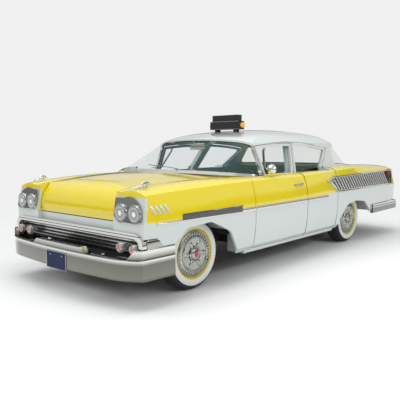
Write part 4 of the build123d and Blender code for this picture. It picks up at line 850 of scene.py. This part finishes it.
def cove_frame(bm, panel, sign):
    """A flat strip along each edge of the cove."""
    for a, b in zip(COVE, COVE[1:] + COVE[:1]):
        along = Vector((b[0] - a[0], b[1] - a[1])).normalized()
        aside = Vector((-along.y, along.x)) * FRAME_WIDTH / 2
        near, far = Vector(a) - along * FRAME_WIDTH / 2, Vector(b) + along * FRAME_WIDTH / 2
        corners = (near - aside, far - aside, far + aside, near + aside)
        cells = max(2, int((far - near).length / FRAME_CELL))
        lay(bm, panel, sign, corners, (cells, 2), lift=-0.004, thick=0.014)


for side, sign in SIDES:
    cove_skin = skin_of("louvres", f"louvre_door_{side}", "quarter_panels", f"door_rear_{side}")
    for part, body in (("quarter", "car"), ("door", f"door_rear_{side}_body")):
        for title, fill, metal in (
            ("cove_slats", slats, slat_metal),
            ("cove_frame", cove_frame, bright_chrome),
        ):
            bm = bmesh.new()
            fill(bm, cove_skin, sign)
            cut_at_gap(bm, part == "door")
            keep(f"{title}_{part}_{side}", bm, metal, body)
    bm = bmesh.new()
    lay(bm, cove_skin, sign, REFLECTOR, (2, 2), lift=0.004, thick=0.008)
    keep(f"cove_reflector_{side}", bm, lens_red, "car")
    bm = bmesh.new()
    lay(bm, cove_skin, sign, FIN_TIP, (4, 6), lift=-0.003, thick=0.007)
    keep(f"fin_tip_{side}", bm, chrome, "car")
print("slat pitch", round(SLAT_PITCH, 4))

# %% [markdown]
# ### Grille
# The dark plate is crossed by thin dark wires. Between them stand rows of fine upright blades, and
# only their edges catch the light. Blades are many and small, so each is one plain box.

# %% Grille blades
GRILLE_FRONT_X = 2.4275
GRILLE_BACK_X = GRILLE_FRONT_X - 0.001
BLADE_PITCH = 0.022
BLADES = 80
BLADE_HALF = 0.0014
BLADE_LOW_Z = 0.418
BLADE_HIGH_Z = 0.545
WIRE_ZS = (0.424, 0.450, 0.480, 0.510, 0.538)
WIRE_HALF = 0.0015
WIRE_REACH_Y = 0.86

bm = bmesh.new()
for number in range(BLADES):
    y = (number - (BLADES - 1) / 2) * BLADE_PITCH
    low = (GRILLE_BACK_X, y - BLADE_HALF, BLADE_LOW_Z)
    block(bm, low, (GRILLE_FRONT_X + 0.005, y + BLADE_HALF, BLADE_HIGH_Z))
keep("grille_blades", bm, satin_chrome, "car")
bm = bmesh.new()
for z in WIRE_ZS:
    low = (GRILLE_BACK_X, -WIRE_REACH_Y, z - WIRE_HALF)
    block(bm, low, (GRILLE_FRONT_X + 0.0065, WIRE_REACH_Y, z + WIRE_HALF))
keep("grille_wires", bm, frame_black, "car")
print("grille blades", BLADES)

# %% [markdown]
# ### Bumper wings
# At each end of the grille a bright wing turns back over the bumper to the wheel arch and closes the
# space below the fender. It is a rounded block.

# %% Bumper wings
WING_XS = (2.175, 2.455)
WING_YS = (0.893, 0.957)
WING_ZS = (0.468, 0.553)

for side, sign in SIDES:
    bm = bmesh.new()
    low_y, high_y = sorted(sign * y for y in WING_YS)
    block(bm, (WING_XS[0], low_y, WING_ZS[0]), (WING_XS[1], high_y, WING_ZS[1]), bevel=0.012)
    keep(f"bumper_wing_{side}", bm, chrome, "car")
print("wings reach back to x", WING_XS[0])

# %% [markdown]
# ### Bumper creases
# A pressed crease runs round each end of the front bumper and parts its two tiers. Its painted
# shade is a dark rod let into the surface, along points found by looking at the bumper from outside.

# %% Bumper creases
CREASE_SIDE_Z = 0.404
CREASE_FRONT_Z = 0.400
CREASE_SIDE_XS = (2.18, 2.26, 2.34, 2.42, 2.49)
CREASE_FRONT_YS = (0.935, 0.915, 0.89, 0.86)
AHEAD_X = 3.0

bumper_skin = skin_of("front_bumper")
backwards = Vector((-1, 0, 0))
for side, sign in SIDES:
    run = [from_side(bumper_skin, sign, x, CREASE_SIDE_Z) for x in CREASE_SIDE_XS]
    for y in CREASE_FRONT_YS:
        start = Vector((AHEAD_X, sign * y, CREASE_FRONT_Z))
        run.append(bumper_skin.ray_cast(start, backwards)[0])
    bm = bmesh.new()
    wire(bm, [point for point in run if point], 0.0035)
    # The dark rod is painted shade in the crease.
    keep(f"bumper_crease_painted_shade_{side}", bm, trim_black, "car")
print("crease points", len(run))

# %% [markdown]
# ### Lamps
# Each headlamp has a bright retaining ring round its lens, and each parking lamp a bright bezel round
# an orange centre. A ring is a small circle spun round the lamp's axis.

# %% Lamp rings
HEADLAMP_RINGS = ((0.010, 0.073, 0.0055), (0.001, 0.060, 0.0022))
PARKING_RINGS = ((0.006, 0.0345, 0.0075), (0.022, 0.0365, 0.006), (0.001, 0.0235, 0.004))


def lamp_rings(title, front_x, centre_ys, centre_z, rings, sides):
    """Rings round the lamps of both sides, each set back from the lamp's front."""
    bm = bmesh.new()
    for sign in (1, -1):
        for y in centre_ys:
            for back, radius, thickness in rings:
                centre = (front_x - back, sign * y, centre_z)
                ring(bm, centre, (1, 0, 0), radius, thickness, sides=sides)
    keep(title, bm, chrome, "car")


lamp_front_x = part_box("headlamps")[1].x
parking_front_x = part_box("parking_lamps")[1].x
lamp_rings("headlamp_rings", lamp_front_x, HEADLAMP_YS, HEADLAMP_Z, HEADLAMP_RINGS, 8)
lamp_rings("parking_lamp_bezels", parking_front_x, PARKING_YS, PARKING_Z, PARKING_RINGS, 12)
print("lamp fronts at x", round(lamp_front_x, 3), round(parking_front_x, 3))

# %% [markdown]
# ### Plate
# The plate hangs from two bolts in the middle of the bumper. It is blank blue metal with a raised
# bright rim.

# %% Plate
PLATE_Y = 0.150
PLATE_LOW_Z = 0.222
PLATE_HIGH_Z = 0.372
RIM_R = 0.0035
BOLT_Y = 0.0889
BOLT_Z = 0.340

plate_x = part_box("front_bumper")[1].x
rim_x = plate_x + 0.004
bm = bmesh.new()
block(bm, (plate_x + 0.001, -PLATE_Y, PLATE_LOW_Z), (rim_x, PLATE_Y, PLATE_HIGH_Z))
keep("number_plate", bm, plate_blue, "car")
bm = bmesh.new()
for z in (PLATE_LOW_Z, PLATE_HIGH_Z):
    wire(bm, ((rim_x, -PLATE_Y, z), (rim_x, PLATE_Y, z)), RIM_R)
for sign in (-1, 1):
    y = sign * PLATE_Y
    wire(bm, ((rim_x, y, PLATE_LOW_Z), (rim_x, y, PLATE_HIGH_Z)), RIM_R)
    ball(bm, (rim_x, sign * BOLT_Y, BOLT_Z), (0.004, 0.008, 0.008), 12, 8)
keep("plate_rim", bm, chrome, "car")
print("plate width", 2 * PLATE_Y)

# %% [markdown]
# ### Wheel covers
# A full cover is one pressed dish: a rolled outer edge, a band of short ribs, a deep ring and a
# centre with six raised webs and a red boss. It is modelled once, standing at the origin with its
# axle along y, and copied to the four wheels, mirrored for the right side.

# %% Wheel covers
COVER_Y = 0.081
COVER_RINGS = (
    (-0.002, 0.203, 0.005, 64),
    (0.007, 0.150, 0.009, 56),
    (0.003, 0.190, 0.003, 64),
    (0.012, 0.064, 0.008, 40),
)
RIBS = 36
WEBS = 6

bm = bmesh.new()
for out, radius, thickness, steps in COVER_RINGS:
    ring(bm, (0, COVER_Y + out, 0), (0, 1, 0), radius, thickness, steps=steps)
for number in range(RIBS):
    turn = Matrix.Rotation(math.tau * number / RIBS, 4, "Y")
    rib = Matrix.Translation((0.178, COVER_Y + 0.004, 0)) @ Matrix.Diagonal((0.020, 0.008, 0.011, 1))
    bmesh.ops.create_cube(bm, size=1.0, matrix=turn @ rib)
for number in range(WEBS):
    turn = Matrix.Rotation(math.tau * number / WEBS, 4, "Y")
    ball(bm, (0.098, COVER_Y + 0.007, 0), (0.040, 0.012, 0.022), 16, 10, turn)
ball(bm, (0, COVER_Y + 0.018, 0), (0.052, 0.014, 0.052), 32, 16)
boss = bmesh.new()
ball(boss, (0, COVER_Y + 0.030, 0), (0.026, 0.006, 0.026), 24, 12)
for corner, axle_x in AXLES.items():
    for side, sign in SIDES:
        mirror = Matrix.Scale(sign, 4, (0, 1, 0))
        place = Matrix.Translation((axle_x, sign * TYRE_Y, HUB_Z)) @ mirror
        body = f"wheel_{corner}_{side}_body"
        for title, source, material, slot in (
            ("wheel_cover", bm, chrome, "wheel_chrome"),
            ("wheel_boss", boss, hub_red, "lamp_red"),
        ):
            copy = source.copy()
            bmesh.ops.transform(copy, matrix=place, verts=copy.verts)
            keep(f"{title}_{corner}_{side}", copy, material, body)
bm.free()
boss.free()
print("ribs on a cover", RIBS)

# %% [markdown]
# ### Small bright parts
# Handles, drip rails, window trim, wipers, the inside mirror and the sign's edges are rods and small
# blocks. Those on a panel take their places from its skin.

# %% Handles, drip rails, window trim
HANDLE_Z = 0.851
HANDLE_STEPS = ((0.0, 0.006), (0.05, 0.024), (0.10, 0.024), (0.15, 0.006))
RAIL = ((0.70, 1.262), (0.45, 1.292), (0.10, 1.312), (-0.25, 1.305), (-0.55, 1.283), (-0.80, 1.235))
VENT_DIVIDER = ((0.672, 1.0), (0.650, 1.0), (0.532, 1.25), (0.546, 1.25))

roof_skin = skin_of("roof")
for side, sign in SIDES:
    for title, start_x in (("door_front", 0.36), ("door_rear", -0.36)):
        panel = skin_of(f"{title}_{side}")
        points = []
        for back, stand_off in HANDLE_STEPS:
            hit = from_side(panel, sign, start_x - back, HANDLE_Z)
            points.append(Vector((start_x - back, hit.y + sign * stand_off, HANDLE_Z)))
        bm = bmesh.new()
        wire(bm, points, 0.009, sides=10)
        button = (points[-1] + Vector((0.012, 0, 0)), points[-1] - Vector((0.016, 0, 0)))
        wire(bm, button, 0.014)
        keep(f"handle_{title}_{side}", bm, chrome, f"{title}_{side}_body")
    rail = []
    for x, z in RAIL:
        hit = from_side(roof_skin, sign, x, z)
        if hit:
            rail.append((x, hit.y + sign * 0.002, z))
    bm = bmesh.new()
    wire(bm, rail, 0.007)
    keep(f"drip_rail_{side}", bm, bright_chrome, "car")
    bm = bmesh.new()
    pane = skin_of(f"door_glass_front_{side}")
    lay(bm, pane, sign, VENT_DIVIDER, (1, 6), lift=-0.008, thick=0.02)
    keep(f"vent_divider_{side}", bm, chrome, f"door_front_{side}_body")
print("drip rail points", len(rail))

# %% Wipers, inside mirror, sign edges
WIPERS = ((0.30, -0.14), (-0.30, -0.72))
WIPER_SHARES = (0.0, 0.35, 0.7, 1.0)
SIGN_LOW_Z = 1.462
SIGN_X = 0.3155
SIGN_EDGE_ROWS = ((0.004, 0.045, 0.210), (0.094, 0.045, 0.210), (0.167, 0.037, 0.180))

cowl_skin = skin_of("cowl", "hood", "windshield", "windshield_frame")
bm = bmesh.new()
for y_pivot, y_tip in WIPERS:
    blade = []
    for share in WIPER_SHARES:
        y = y_pivot + (y_tip - y_pivot) * share
        x = 1.50 - 0.05 * share - 0.10 * abs(y)
        blade.append(Vector((x, y, from_above(cowl_skin, x, y).z + 0.012)))
    wire(bm, blade, 0.0045)
    wire(bm, (blade[0] - Vector((0, 0, 0.02)), blade[0] + Vector((0, 0, 0.006))), 0.012)
keep("wipers", bm, chrome, "car")

bm = bmesh.new()
block(bm, (0.825, -0.11, 1.232), (0.845, 0.11, 1.284), bevel=0.008)
wire(bm, ((0.842, 0, 1.27), (0.90, 0, 1.33)), 0.006)
keep("inside_mirror", bm, chrome, "car")

bm = bmesh.new()
for rise, half_depth, half_width in SIGN_EDGE_ROWS:
    for x in (SIGN_X - half_depth, SIGN_X + half_depth):
        z = SIGN_LOW_Z + rise
        wire(bm, ((x, -half_width, z), (x, half_width, z)), 0.003)
keep("sign_edges", bm, chrome, "car")
print("wiper points", len(blade))

# %% [markdown]
# ## Bench seats
# A bench is two pads: the cushion and the backrest. Each begins as a slightly small block, is turned
# into even squares by a voxel remesh, and is then blown up as cloth, so that its sides pull in and
# its top crowns. The swelling is capped, so the pad stays in the room of its solid seat.

# %% Padded benches
PAD_CELL = 0.016
PAD_CAP = 0.024
PAD_SHRINK = 0.02
PAD_PRESSURE = 4
PAD_FRAMES = 20
SEAT_PADS = {
    "front_cushion": ((0.03, -0.64, 0.415), (0.52, 0.64, 0.615), 0.0, "front_seat"),
    "front_back": ((-0.125, -0.64, 0.58), (-0.015, 0.64, 0.965), -0.30, "front_seat"),
    "rear_cushion": ((-0.66, -0.56, 0.415), (-0.20, 0.56, 0.635), 0.0, "rear_seat"),
    "rear_back": ((-0.80, -0.56, 0.61), (-0.69, 0.56, 0.945), -0.35, "rear_seat"),
}
vinyl = finish("seat_vinyl", (0.045, 0.022, 0.016), roughness=0.5)
r = Recipe(vinyl)
channel = r.math("PINGPONG", r.y, 0.05)
r.bump(r.math("SMOOTH_MIN", channel, 0.012, 0.01), 0.02, 0.6)


def padded(name, low, high, lean):
    """A pad between two corners, which leans by a share of its height and swells as cloth."""
    bm = bmesh.new()
    slope = Matrix.Identity(4)
    slope[0][2] = lean
    turn = Matrix.Translation((-lean * (low[2] + high[2]) / 2, 0, 0)) @ slope
    block(bm, [value + PAD_SHRINK for value in low], [value - PAD_SHRINK for value in high])
    bmesh.ops.transform(bm, matrix=turn, verts=bm.verts)
    pad = keep(name, bm, vinyl, "car")
    remesh = pad.modifiers.new("even", "REMESH")
    remesh.mode = "VOXEL"
    remesh.voxel_size = PAD_CELL
    with bpy.context.temp_override(object=pad, active_object=pad):
        bpy.ops.object.modifier_apply(modifier="even")
    start = [vert.co.copy() for vert in pad.data.vertices]
    cloth = pad.modifiers.new("swell", "CLOTH")
    cloth.settings.use_pressure = True
    cloth.settings.uniform_pressure_force = PAD_PRESSURE
    cloth.settings.effector_weights.gravity = 0
    for number in range(1, PAD_FRAMES + 1):
        scene.frame_set(number)
    seen = pad.evaluated_get(bpy.context.evaluated_depsgraph_get())
    swollen = [vert.co.copy() for vert in seen.data.vertices]
    pad.modifiers.remove(cloth)
    for vert, before, after in zip(pad.data.vertices, start, swollen):
        move = after - before
        vert.co = before + move * min(1.0, PAD_CAP / max(move.length, 1e-9))
    finer = pad.modifiers.new("finer", "SUBSURF")
    finer.levels = finer.render_levels = 1
    pad.data.shade_smooth()
    return pad


for name, (low, high, lean, seat) in SEAT_PADS.items():
    pad = padded(name, low, high, lean)
    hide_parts(seat)
    print(name, "points", len(pad.data.vertices))
scene.frame_set(1)
